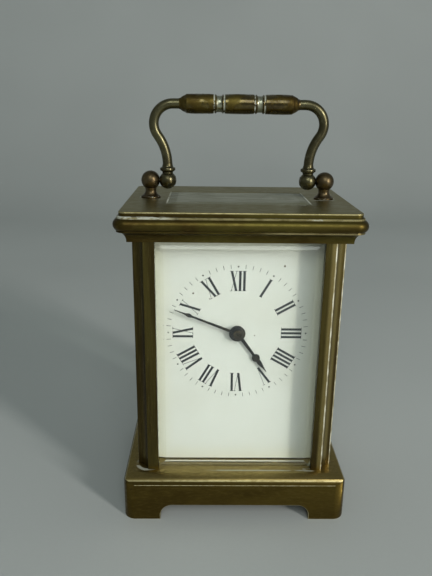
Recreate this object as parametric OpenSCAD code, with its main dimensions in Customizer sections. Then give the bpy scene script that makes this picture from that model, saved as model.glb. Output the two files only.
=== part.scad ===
// Brass travel clock with four corner posts, bevelled glass, folding handle and eight-day movement
// Millimetres. X runs to the right, -Y is the dial side, Z is up, and Z = 0 is under the feet

/* [Body] */
// Width over the corner posts
body_w = 74.6; // [70:0.2:84]
// Depth over the corner posts
body_d = 55.6; // [55:0.2:64]
// Height of the corner posts between base and cornice
post_h = 89.6; // [89:0.2:100]
// Side of a square corner post
post_w = 8; // [7:0.1:9]
// Radius of the cove cut in the outer corner of a post
post_cove = 3.9; // [3:0.1:4.6]
// Diameter of the screws that hold the base to the posts
case_screw_d = 3; // [2:0.1:3.4]

/* [Base] */
// How far the base stands out past the posts
base_over = 5.2; // [4:0.1:7]
// Height of the upright wall of the base
wall_h = 15.3; // [13:0.1:17]
// Height of the sloping moulding above the wall
slope_h = 3.5; // [3:0.1:5]
// How far the sloping moulding runs in
slope_run = 3.5; // [3:0.1:5]
// Rise of the moulding above a straight slope
slope_sag = 0.6; // [0.3:0.1:0.9]
// Radius of the upright corners of the base
base_corner = 4.4; // [2:0.1:5]
// Thickness of the floor that the movement stands on
floor_t = 3.2; // [2.8:0.1:4]
// Thickness of the wall of the base
base_wall = 5.5; // [4.5:0.1:6]
// Half width of the front recess between the feet
foot_front = 24; // [18:0.5:26]
// Half depth of the side recess between the feet
foot_side = 14.5; // [10:0.5:16]
// Height of the recesses between the feet
foot_h = 6.3; // [5:0.1:7]
// Radius of the cove at the inner end of a foot
foot_cove = 4.5; // [3:0.1:4.8]

/* [Cornice] */
// How far the turning centre of the corners lies outside the posts
corner_turn = 1; // [0.5:0.1:1.2]
// How far the lower edge stands out past the posts
lower_over = 1.2; // [1.2:0.1:1.6]
// Radius of the hollow under the half-round
hollow_r = 3.4; // [3:0.1:3.6]
// Radius of the half-round
torus_r = 2.25; // [2:0.05:2.5]
// Height of the narrow step above the half-round
step_h = 0.65; // [0.4:0.05:1]
// Height of the top edge above the step
edge_h = 1.6; // [1.2:0.1:2]
// How far the top edge stands out past the posts
edge_over = 3.5; // [3:0.1:4]
// Width of the glass in the top
top_glass_w = 51; // [44:0.5:54]
// Depth of the glass in the top
top_glass_d = 28.4; // [20:0.2:30]

/* [Glass] */
// Thickness of the panes
glass_t = 2.8; // [2.4:0.1:3]
// Thickness of the panes at their edge
glass_edge = 1.2; // [1:0.1:1.4]
// Width of the bevel of the panes
bevel_w = 4.2; // [3:0.1:5]
// Depth of the panes behind the face of the posts
glass_back = 1.6; // [1.3:0.1:1.8]
// Depth of the grooves that hold the panes
groove_d = 1.5; // [1:0.1:1.8]
// Gap between a pane and its groove
glass_gap = 0.1; // [0.05:0.01:0.15]

/* [Door] */
// Thickness of the rear door
door_t = 3; // [2.6:0.1:3.2]
// Width of the bars of the door frame
door_bar = 6; // [5:0.1:7]
// Gap round the door
door_gap = 0.3; // [0.25:0.05:0.4]
// Diameter of the hinge pins
door_pin_d = 1.6; // [1.2:0.1:1.8]
// Depth of the hinge pins in the door, the base and the cornice
door_pin_in = 2.6; // [2:0.1:2.7]
// Diameter of the door knob
knob_d = 4.4; // [3.6:0.1:5]

/* [Handle] */
// Distance of the finials from the middle
finial_x = 32.6; // [31.8:0.1:33]
// Radius of the finial balls
finial_r = 3.5; // [3.2:0.05:3.6]
// Height of the handle pivot above the top of the case
pivot_h = 6.5; // [6.4:0.1:7.5]
// Distance of the balls of the handle from the middle
arm_x = 26.2; // [25.8:0.1:26.4]
// Radius of the balls of the handle
arm_ball_r = 3.2; // [3:0.05:3.25]
// Gap between a finial and the ball of the handle
pivot_gap = 0.2; // [0.1:0.05:0.3]
// Diameter of the handle pivot
pivot_d = 1.8; // [1.4:0.1:2]
// Thickness of the handle arms
arm_d = 3.6; // [3:0.1:4]
// Height above the pivot where the arms start to bend
arm_straight = 5.6; // [5:0.1:7]
// Distance of the arms from the middle at their widest
arm_out = 31.05; // [30:0.05:32]
// Radius of the upper bend of the arms
arm_bend = 7; // [6:0.1:8]
// Height of the grip above the pivot
grip_h = 27.4; // [26:0.1:32]
// Length of the grip
grip_len = 43.6; // [40:0.2:45]
// Diameter of the grip
grip_d = 7; // [6:0.1:8]
// Length of the middle barrel of the grip
grip_mid = 10.2; // [9:0.1:11]
// Length of each ring group of the grip
grip_ring = 4.9; // [4.4:0.1:5.4]

/* [Dial] */
// Height of the hands above the floor
dial_up = 54; // [53:0.1:56]
// Width of the dial
dial_w = 62; // [56:0.5:63]
// Thickness of the dial
dial_t = 1.2; // [0.8:0.1:1.4]
// Gap from the dial to the front pane
dial_gap = 4; // [3.8:0.1:5]
// Length of the minute hand
minute_len = 24.2; // [20:0.1:25]
// Length of the hour hand
hour_len = 19; // [15:0.1:20]
// Thickness of the hands
hand_t = 0.5; // [0.3:0.05:0.6]
// Radius of the hubs of the hands
hub_r = 3; // [2.6:0.1:3.2]
// Time shown by the hands, in minutes after twelve
shown_time = 288.6; // [0:0.1:720]

/* [Movement] */
// Width of the movement plates
plate_w = 50; // [48:0.5:56]
// Height of the movement plates
plate_h = 67.5; // [67.3:0.1:68.5]
// Thickness of the movement plates
plate_t = 2.2; // [1.8:0.1:2.4]
// Distance between the movement plates
plate_space = 22; // [21.6:0.1:22.6]
// Gap from the dial to the front plate
motion_space = 5.2; // [5:0.1:5.4]
// Diameter of the movement pillars
pillar_d = 6; // [5:0.1:6.4]
// Diameter of the small screws
screw_d = 1.6; // [1.2:0.1:2]
// Running clearance of the pivots
run_gap = 0.04; // [0.02:0.005:0.06]
// End play of the arbors
end_gap = 0.15; // [0.1:0.01:0.2]
// Diameter of the train pivots
pivot_train_d = 1; // [0.8:0.05:1.2]
// Diameter of the train arbors
arbor_d = 1.8; // [1.4:0.1:1.8]

/* [Spring barrel] */
// Height of the winding arbor above the floor
barrel_up = 20.8; // [20.5:0.1:21.5]
// Outer radius of the drum
drum_r = 15.2; // [14.4:0.1:15.2]
// Wall thickness of the drum
drum_wall = 0.8; // [0.6:0.1:1]
// Length of the drum
drum_len = 14; // [12:0.1:14]
// Diameter of the winding arbor
wind_d = 3.6; // [3.2:0.1:3.8]
// Side of the winding square
wind_square = 2.5; // [2:0.1:2.6]
// Turns of the mainspring
spring_turns = 7; // [5:1:8]
// Radius of the ratchet wheel
ratchet_r = 6; // [5:0.1:6.5]
// Teeth of the ratchet wheel
ratchet_teeth = 22; // [16:1:26]
// Length of the click from its screw to its tip
click_len = 7.5; // [7:0.1:8]
// Gap between the tip of the click and the ratchet wheel
click_gap = 0.15; // [0.1:0.01:0.2]

/* [Train] */
// Teeth of the spring barrel
barrel_teeth = 90; // [90:1:91]
// Leaves of the intermediate pinion
inter_leaves = 12; // [12:1:12]
// Teeth of the intermediate wheel
inter_teeth = 75; // [75:1:76]
// Leaves of the centre pinion
centre_leaves = 12; // [12:1:12]
// Teeth of the centre wheel
centre_teeth = 80; // [78:1:82]
// Leaves of the third pinion
third_leaves = 10; // [10:1:10]
// Teeth of the third wheel
third_teeth = 75; // [74:1:76]
// Leaves of the contrate pinion
contrate_leaves = 10; // [10:1:10]
// Teeth of the contrate wheel
contrate_teeth = 70; // [70:1:72]
// Leaves of the escape pinion
escape_leaves = 7; // [7:1:7]
// Tooth size of the barrel and the intermediate wheel, as pitch diameter per tooth
slow_size = 0.36; // [0.358:0.001:0.362]
// Tooth size of the centre wheel
centre_size = 0.26; // [0.25:0.002:0.27]
// Tooth size of the third wheel
third_size = 0.2133; // [0.21:0.0005:0.216]
// Mean radius of the contrate teeth
contrate_r = 7.5; // [7.4:0.05:7.6]
// Tooth size of the cannon pinion and the minute wheel
cannon_size = 0.3; // [0.28:0.005:0.31]
// Thickness of the train wheels
wheel_t = 0.9; // [0.7:0.05:1]

/* [Platform] */
// Thickness of the platform
platform_t = 1.6; // [1.4:0.1:1.8]
// Width of the platform
platform_w = 31; // [30:0.5:33]
// Radius of the escape wheel
escape_r = 3.6; // [3.2:0.1:3.8]
// Teeth of the escape wheel
escape_teeth = 15; // [13:1:17]
// Distance between the escape wheel and the lever
lever_dist = 4.9; // [4.8:0.05:5.2]
// Gap between the escape wheel and the pallets at mid swing
pallet_gap = 0.42; // [0.38:0.01:0.5]
// Distance between the lever and the balance
balance_dist = 6.8; // [6.6:0.1:7]
// Radius of the balance rim
balance_r = 7; // [6:0.1:7.2]
// Radius of the impulse pin about the balance staff
roller_pin = 1.1; // [1:0.05:1.2]
// Turns of the hairspring
hair_turns = 5; // [3:1:5]
// Distance between the turns of the hairspring
hair_pitch = 0.56; // [0.54:0.01:0.6]
// Thickness of the hairspring strip
hair_t = 0.12; // [0.1:0.01:0.13]

/* [Hidden] */
$fn = 48;
brass = "#8a7440";
bright = "#c8a850";
steel = "#8d9298";
dark = "#3a4044";
clear = "#b9cfd0";
// Slight surplus of a cut past the face it opens
cut = 0.5;

// Heights of the case
base_h = wall_h + slope_h;
cornice_z = base_h + post_h;
base_w = body_w + 2 * base_over;
base_d = body_d + 2 * base_over;
open_w = body_w - 2 * post_w;
open_d = body_d - 2 * post_w;

// Cornice profile, measured up from its lower face and out from the posts
hollow_z = 0.3;
step_over = 4.2;
torus_over = 3.3;
hollow_top = hollow_z + hollow_r + 0.2;
torus_z = hollow_top + torus_r;
step_z = torus_z + torus_r - 0.05;
edge_z = step_z + step_h;
cornice_h = edge_z + edge_h;
top_z = cornice_z + cornice_h;
ledge_h = 2;
ledge_in = 2;
glass_seat = top_z - glass_t + 0.2;

// Panes and grooves
pane_bite = groove_d - glass_gap;
groove_w = glass_edge + (glass_t - glass_edge) * groove_d / bevel_w + 2 * glass_gap;
pane_floor = 1.2;
pane_h = post_h + 2 * (pane_floor - glass_gap);
front_pane_y = -body_d / 2 + glass_back + glass_t;
side_pane_x = body_w / 2 - glass_back - glass_t;

// Door
door_w = open_w - 2 * door_gap;
door_h = post_h - 2 * door_gap;
door_x = -door_w / 2 + door_t / 2;
door_y = body_d / 2 - door_t / 2;
door_hole_w = door_w - 2 * door_bar;
door_hole_h = door_h - 2 * door_bar;

// Handle
pivot_z = top_z + pivot_h;
pivot_mid = (finial_x - finial_r + arm_x + arm_ball_r) / 2;
finial_flat = pivot_mid + pivot_gap / 2;
arm_flat = pivot_mid - pivot_gap / 2;
bend_drop = grip_h - arm_bend - arm_straight;
bend_side = arm_out - arm_bend - arm_x;
// The lower bend meets the upper one where both lean by the same angle
bend_total = (pow(bend_drop, 2) + pow(arm_bend + bend_side, 2)) / (2 * (arm_bend + bend_side));
lower_bend = bend_total - arm_bend;
lean = asin(bend_drop / bend_total);
grip_side = (grip_len - grip_mid - 2 * grip_ring) / 2;
// Each thinner stretch of the arm enters the thicker one beside it by a small angle
arm_inner_d = arm_d - 0.02;
arm_lap = 1;

// Movement, from the dial side to the door side
dial_front = front_pane_y + dial_gap;
dial_back = dial_front + dial_t;
front_y = dial_back + motion_space;
inner_front = front_y + plate_t;
inner_back = inner_front + plate_space;
back_y = inner_back + plate_t;
plate_top = base_h + plate_h;
centre_x = 0;
centre_z = base_h + dial_up;
barrel_x = 0;
barrel_z = base_h + barrel_up;
front_stop = inner_front + end_gap;
back_stop = inner_back - end_gap;

// Tooth forms as shares of the tooth size and of the pitch angle
wheel_form = [0.9, 1.1, 0.235, 0.07];
leaf_form = [0.5, 1.2, 0.2, 0.09];

// Pitch radii and centre distances
barrel_pr = barrel_teeth * slow_size / 2;
inter_pinion_pr = inter_leaves * slow_size / 2;
inter_pr = inter_teeth * slow_size / 2;
centre_pinion_pr = centre_leaves * slow_size / 2;
centre_pr = centre_teeth * centre_size / 2;
third_pinion_pr = third_leaves * centre_size / 2;
third_pr = third_teeth * third_size / 2;
contrate_pinion_pr = contrate_leaves * third_size / 2;
escape_pinion_pr = contrate_r * escape_leaves / contrate_teeth;

// The intermediate arbor lies where the arcs about the barrel and the centre arbor cross
inter_a = barrel_pr + inter_pinion_pr;
inter_b = inter_pr + centre_pinion_pr;
inter_gap = centre_z - barrel_z;
inter_up = (inter_a * inter_a - inter_b * inter_b + inter_gap * inter_gap) / (2 * inter_gap);
inter_x = barrel_x - sqrt(inter_a * inter_a - inter_up * inter_up);
inter_z = barrel_z + inter_up;
contrate_z = plate_top - contrate_r - 1.5;
contrate_reach = third_pr + contrate_pinion_pr;
// The third arbor lies as low as the intermediate wheel and the reach of the contrate pinion let it
third_reach = centre_pr + third_pinion_pr;
third_turn = -20;
third_z = max(centre_z + third_reach * sin(third_turn), contrate_z - 0.94 * contrate_reach);
third_x = centre_x + sqrt(pow(third_reach, 2) - pow(third_z - centre_z, 2));
contrate_x = third_x + sqrt(pow(contrate_reach, 2) - pow(contrate_z - third_z, 2));
cannon_teeth = 12;
minute_teeth = 36;
minute_leaves = 10;
hour_teeth = 40;
cannon_pr = cannon_teeth * cannon_size / 2;
minute_pr = minute_teeth * cannon_size / 2;
minute_dist = cannon_pr + minute_pr;
hour_size = 2 * minute_dist / (minute_leaves + hour_teeth);
minute_turn = 225;
minute_x = centre_x + minute_dist * cos(minute_turn);
minute_z = centre_z + minute_dist * sin(minute_turn);

// Places along the depth, with the tips of the contrate teeth behind the contrate disc
crown_h = 1.1;
contrate_disc_t = 0.8;
drum_front = front_stop + 1.05;
drum_back = drum_front + drum_len;
inter_wheel_y = inner_back - 3.6;
centre_wheel_y = inner_front + 2.8;
third_wheel_y = inner_front + 13.8;
contrate_disc_y = inner_front + 8.45;
crown_y = contrate_disc_y + contrate_disc_t + crown_h;
motion_wheel_y = front_y - 1.6;
hour_wheel_y = front_y - 3.6;

// Platform, from below upwards
platform_z = plate_top;
platform_top = platform_z + platform_t;
escape_x = contrate_x;
escape_y = crown_y + 0.2 + escape_pinion_pr;
lever_x = escape_x - lever_dist;
balance_x = lever_x - balance_dist;
lever_z = platform_top + 1.2;
bridge_z = lever_z + 1.9;
balance_z = bridge_z + 1.7;
hair_z = balance_z + 1.9;
cock_z = hair_z + 1.1;
hair_r0 = 0.95;
hair_r1 = hair_r0 + hair_turns * hair_pitch;
tiny_pivot = 0.3;
staff_r = 0.5;

// Screws, pegs and nuts of the case
post_x = body_w / 2 - post_w / 2 - 0.5;
post_y = body_d / 2 - post_w / 2 - 0.5;
peg_d = 3;
peg_h = 2.5;
screw_bite = 10;
nut_r = 2.9;
nut_h = 2.1;
nut_top = top_z - 4.4;
stud_d = 2.4;

// Small sizes of the door and the handle
door_slot = groove_w + 0.1;
knob_x = door_w / 2 - door_bar / 2 + 0.8;
foot_r = 3.65;
neck_r = 2;
pin_in = 3.6;
collar_z = 3.6;
collar_r = 2.8;
head_d = 3.2;
head_in = 1.3;
spigot_d = 2;

// Pillars, dial feet and small screws of the movement
pillar_low = 6.5;
pillar_high = plate_h * 0.659;
pillar_in = 3.2;
pillar_x = plate_w / 2 - pillar_in;
pillar_spots = [for (x = [-pillar_x, pillar_x], z = [pillar_low, pillar_high]) [x, base_h + z]];
mount_x = [-pillar_x, pillar_x];
foot_spots = [[-18, plate_top - 3], [18, plate_top - 20], [0, base_h + 2.5]];
foot_pin_r = 1;
plate_screw_d = 1.2;
plate_mid = [front_y + plate_t / 2, inner_back + plate_t / 2];

// Arbors and pipes
centre_r = 1;
wind_front_r = 1.3;
minute_stud_r = 0.7;
pipe_r = 1.45;
nut_hole_r = 0.7;
cannon_r = 1.35;
hour_pipe_r = 2.1;
arbor_third = min(arbor_d / 2, third_leaves * centre_size / 2 - leaf_form[1] * centre_size);
arbor_contrate = min(arbor_d / 2, contrate_leaves * third_size / 2 - leaf_form[1] * third_size);
hour_front = dial_front - 1.3;
minute_front = hour_front - 0.9;
cannon_front = minute_front - 0.1;
nut_front = cannon_front - 0.8;

// Mainspring, ratchet wheel and click
hub_spring_r = 4;
spring_t = 0.4;
spring_r0 = hub_spring_r + 0.3;
spring_r1 = drum_r - drum_wall - spring_t - 0.3;
spring_steps = 20;
ratchet_y = back_y + 0.3;
ratchet_t = 1.3;
wind_end = body_d / 2 - door_t - 1.6;
click_tip = 1;
click_x = barrel_x + click_tip + click_len;
click_z = barrel_z + sqrt(pow(ratchet_r + click_gap, 2) - click_tip * click_tip);
click_r = 1.9;
click_screw_d = 1.8;
spring_x = click_x + 6;
spring_z = click_z + click_r + 1.4;
click_y = ratchet_y;
click_spring_len = 8;

// Screws and feet of the platform
platform_edge = 4.6;
platform_left = balance_x - balance_r - platform_edge;
platform_right = platform_left + platform_w;
platform_screw_in = 2.5;
platform_screw_x = [platform_left + platform_screw_in, platform_right - platform_screw_in];
platform_bite = 3.5;
potence_drop = 3.3;
potence_t = 0.9;
potence_half = 1.5;
escape_low = plate_top - potence_drop;
cock_in = 2.4;
cock_x = platform_left + cock_in;
cock_foot = 2.1;
cock_half = 3;
bridge_foot_out = 2.3;
bridge_foot_side = 7;
bridge_feet = [
    [escape_x + escape_r + bridge_foot_out, escape_y],
    [lever_x, escape_y + bridge_foot_side],
    [cock_x, escape_y]
];
index_len = 6;
pallet_x = lever_dist / 2 + 0.15;
pallet_y = sqrt(pow(escape_r + pallet_gap, 2) - pow(lever_dist - pallet_x, 2));

// Straight bar along Y between two depths, drawn as its X and Z outline
module along_y(y0, y1) {
    translate([0, y1, 0]) rotate([90, 0, 0]) linear_extrude(y1 - y0) children();
}

// Round rod along Y about the point x, z
module rod_y(x, z, r, y0, y1) {
    along_y(y0, y1) translate([x, z]) circle(r = r);
}

// Box given by its lowest and highest corners
module block(a, b) {
    translate(a) cube(b - a);
}

// Copies mirrored to both sides in X and in Y
module four_ways() {
    for (sx = [0, 1], sy = [0, 1]) mirror([sx, 0, 0]) mirror([0, sy, 0]) children();
}

// Outline of a toothed wheel, with one tooth on the given direction
module toothed(n, size, form, turn = 0) {
    r = n * size / 2;
    low = r - form[1] * size;
    high = r + form[0] * size;
    step = 360 / n;
    polygon([for (i = [0:n - 1]) for (k = [[low, -form[2]], [high, -form[3]], [high, form[3]], [low, form[2]]])
        k[0] * [cos(turn + (i + k[1]) * step), sin(turn + (i + k[1]) * step)]]);
}

// Openings between the spokes of a wheel
module spoke_gaps(rim, hub, spokes, width) {
    difference() {
        circle(r = rim);
        circle(r = hub);
        for (i = [0:spokes - 1]) rotate(i * 360 / spokes + 18) translate([0, -width / 2]) square([rim + 1, width]);
    }
}

// Toothed wheel with spokes and a bore, about the point x, z
module train_wheel(x, z, n, size, turn, bore, y0) {
    r = n * size / 2;
    along_y(y0, y0 + wheel_t) translate([x, z]) difference() {
        toothed(n, size, wheel_form, turn);
        spoke_gaps(r - 1.1 * size - 1.1, bore + 1.4, 5, 1.3);
        circle(r = bore);
    }
}

// Steel arbor with pinion leaves and a pivot at each end
module pinion_arbor(x, z, n, size, turn, leaf0, leaf1) {
    root = n * size / 2 - leaf_form[1] * size;
    union() {
        rod_y(x, z, min(arbor_d / 2, root), front_stop, back_stop);
        rod_y(x, z, pivot_train_d / 2, inner_front - plate_t + 0.3, inner_back + plate_t - 0.3);
        along_y(leaf0, leaf1) translate([x, z]) toothed(n, size, leaf_form, turn);
    }
}

// Direction from one arbor to another, in degrees
function toward(x0, z0, x1, z1) = atan2(z1 - z0, x1 - x0);

// Pane with a bevel on its front, lying on its back
module pane(w, h, bevel = bevel_w) {
    intersection() {
        translate([0, h / 2, 0]) rotate([90, 0, 0]) linear_extrude(h) pane_edge(w, bevel);
        translate([-w / 2, 0, 0]) rotate([90, 0, 90]) linear_extrude(w) pane_edge(h, bevel);
    }
}

module pane_edge(w, bevel) {
    polygon([[-w / 2, 0], [w / 2, 0], [w / 2, glass_edge], [w / 2 - bevel, glass_t],
        [-w / 2 + bevel, glass_t], [-w / 2, glass_edge]]);
}

// Screw along Z with its head below and a slot across the head
module screw_up(d, length, head_d, head_h) {
    difference() {
        union() {
            cylinder(d = d, h = length);
            translate([0, 0, -head_h]) cylinder(d = head_d, h = head_h);
        }
        translate([-head_d, -0.3, -head_h - cut]) cube([2 * head_d, 0.6, cut + head_h / 2]);
    }
}

// Outline of one side of the base, convex above its wall
module base_side(half) {
    chord = sqrt(slope_run * slope_run + slope_h * slope_h);
    r = chord * chord / (8 * slope_sag) + slope_sag / 2;
    back = (r - slope_sag) / chord;
    cx = half - slope_run / 2 - back * slope_h;
    cz = wall_h + slope_h / 2 - back * slope_run;
    translate([-half, 0]) square([2 * half, wall_h]);
    translate([-half + slope_run, 0]) square([2 * (half - slope_run), base_h]);
    for (s = [0, 1]) mirror([s, 0]) intersection() {
        translate([cx, cz]) circle(r = r);
        translate([half - slope_run - 1, 0]) square([slope_run + 1, base_h]);
    }
}

// Recess between two feet, with a cove at each end
module foot_gap(half) {
    translate([-half, -cut]) square([2 * half, foot_h + cut]);
    for (s = [0, 1]) mirror([s, 0]) {
        translate([half - 0.1, -cut]) square([foot_cove + 0.1, foot_h - foot_cove + cut]);
        intersection() {
            translate([half, foot_h - foot_cove]) circle(r = foot_cove);
            translate([half - 0.1, 0]) square([foot_cove + 1, foot_h]);
        }
    }
}

// Outline with rounded corners
module rounded(w, d, r) {
    square([w, d - 2 * r], center = true);
    square([w - 2 * r, d], center = true);
    for (x = [-1, 1], y = [-1, 1]) translate([x * (w / 2 - r), y * (d / 2 - r)]) circle(r = r);
}

module base() {
    color(brass) difference() {
        intersection() {
            along_y(-base_d / 2, base_d / 2) base_side(base_w / 2);
            translate([-base_w / 2, 0, 0]) rotate([90, 0, 90]) linear_extrude(base_w) base_side(base_d / 2);
            linear_extrude(base_h) rounded(base_w, base_d, base_corner);
        }
        block([-base_w / 2 + base_wall, -base_d / 2 + base_wall, -cut],
            [base_w / 2 - base_wall, base_d / 2 - base_wall, base_h - floor_t]);
        along_y(-base_d, base_d) foot_gap(foot_front);
        translate([-base_w, 0, 0]) rotate([90, 0, 90]) linear_extrude(2 * base_w) foot_gap(foot_side);
        pane_grooves(base_h - pane_floor, base_h + cut);
        four_ways() translate([post_x, post_y, 0]) cylinder(d = case_screw_d, h = base_h + cut);
        for (x = mount_x) translate([x, 0, 0]) cylinder(d = screw_d, h = base_h + cut);
        translate([door_x, door_y, base_h - door_pin_in]) cylinder(r = door_pin_d / 2 + run_gap, h = door_pin_in + cut);
    }
}

// Grooves for the front and side panes between two heights
module pane_grooves(z0, z1) {
    back = front_pane_y + glass_gap;
    front_half = open_w / 2 + groove_d;
    side_half = open_d / 2 + groove_d;
    block([-front_half, back - groove_w, z0], [front_half, back, z1]);
    inner = side_pane_x - glass_gap;
    for (s = [0, 1]) mirror([s, 0, 0]) block([inner, -side_half, z0], [inner + groove_w, side_half, z1]);
}

// Corner post at the right rear, with its screw hole and its peg
module post() {
    color(brass) difference() {
        union() {
            translate([body_w / 2 - post_w, body_d / 2 - post_w, base_h]) cube([post_w, post_w, post_h]);
            translate([post_x, post_y, base_h]) cylinder(d = peg_d, h = post_h + peg_h);
        }
        translate([body_w / 2, body_d / 2, base_h - cut]) cylinder(r = post_cove, h = post_h + 2 * cut);
        translate([post_x, post_y, base_h - cut]) cylinder(d = case_screw_d, h = screw_bite + cut);
    }
}

module post_front_right() {
    difference() {
        mirror([0, 1, 0]) post();
        pane_grooves(base_h - cut, cornice_z);
    }
}

module post_front_left() {
    mirror([1, 0, 0]) post_front_right();
}

module post_rear_right() {
    difference() {
        post();
        pane_grooves(base_h - cut, cornice_z);
    }
    // Rib that the closed door rests against
    color(brass) block([open_w / 2 - 1.2, open_d / 2, base_h + 0.2],
        [open_w / 2, body_d / 2 - door_t - 0.1, cornice_z - 0.2]);
}

module post_rear_left() {
    mirror([1, 0, 0]) difference() {
        post();
        pane_grooves(base_h - cut, cornice_z);
    }
}

// Half profile of the cornice, from the turning centre outwards
module cornice_profile() {
    difference() {
        square([step_over - corner_turn + 0.2, hollow_top]);
        translate([lower_over + hollow_r - corner_turn, hollow_z]) circle(r = hollow_r);
        translate([lower_over - corner_turn, -cut]) square([step_over, hollow_z + cut]);
    }
    translate([0, hollow_top - 0.1]) square([torus_over - corner_turn, cornice_h - hollow_top - edge_h]);
    translate([torus_over - corner_turn, torus_z]) circle(r = torus_r);
    translate([0, torus_z]) square([step_over - corner_turn, edge_z - torus_z]);
    translate([0, torus_z]) square([edge_over - corner_turn, cornice_h - torus_z]);
}

module cornice() {
    turn_x = body_w / 2 + corner_turn;
    turn_y = body_d / 2 + corner_turn;
    ring_in = 12;
    color(brass) difference() {
        translate([0, 0, cornice_z]) {
            block([-turn_x, -turn_y, 0], [turn_x, turn_y, cornice_h]);
            four_ways() translate([turn_x, turn_y, 0]) rotate_extrude(angle = 90) cornice_low();
            for (s = [0, 1]) mirror([0, s, 0]) translate([-turn_x, turn_y, 0]) rotate([90, 0, 90])
                linear_extrude(2 * turn_x) cornice_low();
            for (s = [0, 1]) mirror([s, 0, 0]) translate([turn_x, turn_y, 0]) rotate([90, 0, 0])
                linear_extrude(2 * turn_y) cornice_low();
        }
        block([-top_glass_w / 2 - glass_gap, -top_glass_d / 2 - glass_gap, glass_seat],
            [top_glass_w / 2 + glass_gap, top_glass_d / 2 + glass_gap, top_z + cut]);
        block([-top_glass_w / 2 + ledge_in, -top_glass_d / 2 + ledge_in, cornice_z - cut],
            [top_glass_w / 2 - ledge_in, top_glass_d / 2 - ledge_in, top_z + cut]);
        block([-open_w / 2 + 1, -open_d / 2 + 1, cornice_z - cut],
            [open_w / 2 - 1, open_d / 2 - 1, glass_seat - ledge_h]);
        pane_grooves(cornice_z - cut, cornice_z + pane_floor);
        four_ways() translate([post_x, post_y, cornice_z - cut]) cylinder(d = peg_d, h = peg_h + cut);
        for (x = [-finial_x, finial_x]) translate([x, 0, 0]) {
            translate([0, 0, cornice_z - cut]) cylinder(r = nut_r + 0.2, h = nut_top - cornice_z + cut);
            translate([0, 0, cornice_z]) cylinder(d = stud_d, h = cornice_h + cut);
        }
        translate([door_x, door_y, cornice_z - cut]) cylinder(r = door_pin_d / 2 + run_gap, h = door_pin_in + cut);
    }
}

// Profile of the cornice, closed on the turning centre
module cornice_low() {
    intersection() {
        cornice_profile();
        square([2 * step_over, cornice_h]);
    }
}

module front_glass() {
    color(clear) translate([0, front_pane_y, base_h + post_h / 2]) rotate([90, 0, 0])
        pane(open_w + 2 * pane_bite, pane_h);
}

module side_glass() {
    color(clear) translate([side_pane_x, 0, base_h + post_h / 2]) rotate([90, 0, 90])
        pane(open_d + 2 * pane_bite, pane_h);
}

module right_glass() {
    side_glass();
}

module left_glass() {
    mirror([1, 0, 0]) side_glass();
}

module top_glass() {
    color(clear) translate([0, 0, glass_seat]) pane(top_glass_w, top_glass_d, bevel_w * 0.7);
}

module case_screws() {
    color(steel) four_ways() translate([post_x, post_y, base_h - floor_t])
        screw_up(case_screw_d, floor_t + screw_bite - 0.5, case_screw_d * 1.7, 1.2);
}

module door_frame() {
    color(brass) difference() {
        union() {
            block([door_x, door_y - door_t / 2, base_h + door_gap], [door_w / 2, door_y + door_t / 2, cornice_z - door_gap]);
            translate([door_x, door_y, base_h + door_gap]) cylinder(d = door_t, h = door_h);
        }
        translate([0, door_y, base_h + post_h / 2]) cube([door_hole_w, 2 * door_t, door_hole_h], center = true);
        translate([0, door_y - door_t / 2 + door_slot / 2, base_h + post_h / 2])
            cube([door_hole_w + 2 * pane_bite + 2 * glass_gap, door_slot, door_hole_h + 2 * pane_bite + 2 * glass_gap], center = true);
        for (z = [base_h + door_gap - cut, cornice_z - door_gap - door_pin_in])
            translate([door_x, door_y, z]) cylinder(d = door_pin_d, h = door_pin_in + cut);
        rod_y(knob_x, base_h + post_h / 2, screw_d / 2, door_y - door_t, door_y + door_t);
    }
}

module door_glass() {
    color(clear) translate([0, door_y - door_t / 2 + glass_gap, base_h + post_h / 2]) rotate([90, 0, 180])
        pane(door_hole_w + 2 * pane_bite, door_hole_h + 2 * pane_bite);
}

module door_knob() {
    color(brass) translate([knob_x, door_y + door_t / 2, base_h + post_h / 2]) rotate([-90, 0, 0]) {
        rotate_extrude() {
            square([knob_d / 2, 0.8]);
            square([knob_d / 4, 3]);
            intersection() {
                translate([0, 3]) circle(d = knob_d);
                square([knob_d, 5]);
            }
        }
        translate([0, 0, -door_t]) cylinder(d = screw_d, h = door_t);
    }
}

module door_pins() {
    color(steel) for (z = [base_h - door_pin_in + 0.3, cornice_z - door_gap - door_pin_in])
        translate([door_x, door_y, z]) cylinder(d = door_pin_d, h = 2 * door_pin_in + door_gap - 0.3);
}

// Turned finial at the right, with the bore for the handle pivot
module finial() {
    color(brass) difference() {
        translate([finial_x, 0, top_z]) rotate_extrude() {
            difference() {
                square([foot_r, 3]);
                translate([foot_r + 0.2, 3]) circle(r = 2.4);
            }
            square([neck_r, pivot_h]);
            translate([0, 3]) square([neck_r + 0.5, 0.6]);
            intersection() {
                translate([0, pivot_h]) circle(r = finial_r);
                square([finial_r, pivot_h + finial_r]);
            }
        }
        block([finial_flat - 2 * finial_r, -2 * finial_r, pivot_z - finial_r],
            [finial_flat, 2 * finial_r, pivot_z + finial_r]);
        translate([finial_flat - 1, 0, pivot_z]) rotate([0, 90, 0]) cylinder(r = pivot_d / 2 + run_gap, h = pin_in + 1.2);
        translate([finial_x, 0, top_z - cut]) cylinder(d = stud_d, h = 3);
    }
}

module finial_right() {
    finial();
}

module finial_left() {
    mirror([1, 0, 0]) finial();
}

// Hexagon screws from inside the cornice into the finials
module finial_nuts() {
    color(steel) for (x = [-finial_x, finial_x]) translate([x, 0, 0]) {
        translate([0, 0, nut_top - nut_h]) cylinder(r = nut_r, h = nut_h, $fn = 6);
        translate([0, 0, nut_top - 1]) cylinder(d = stud_d, h = top_z + 2.4 - nut_top + 1);
    }
}

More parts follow.
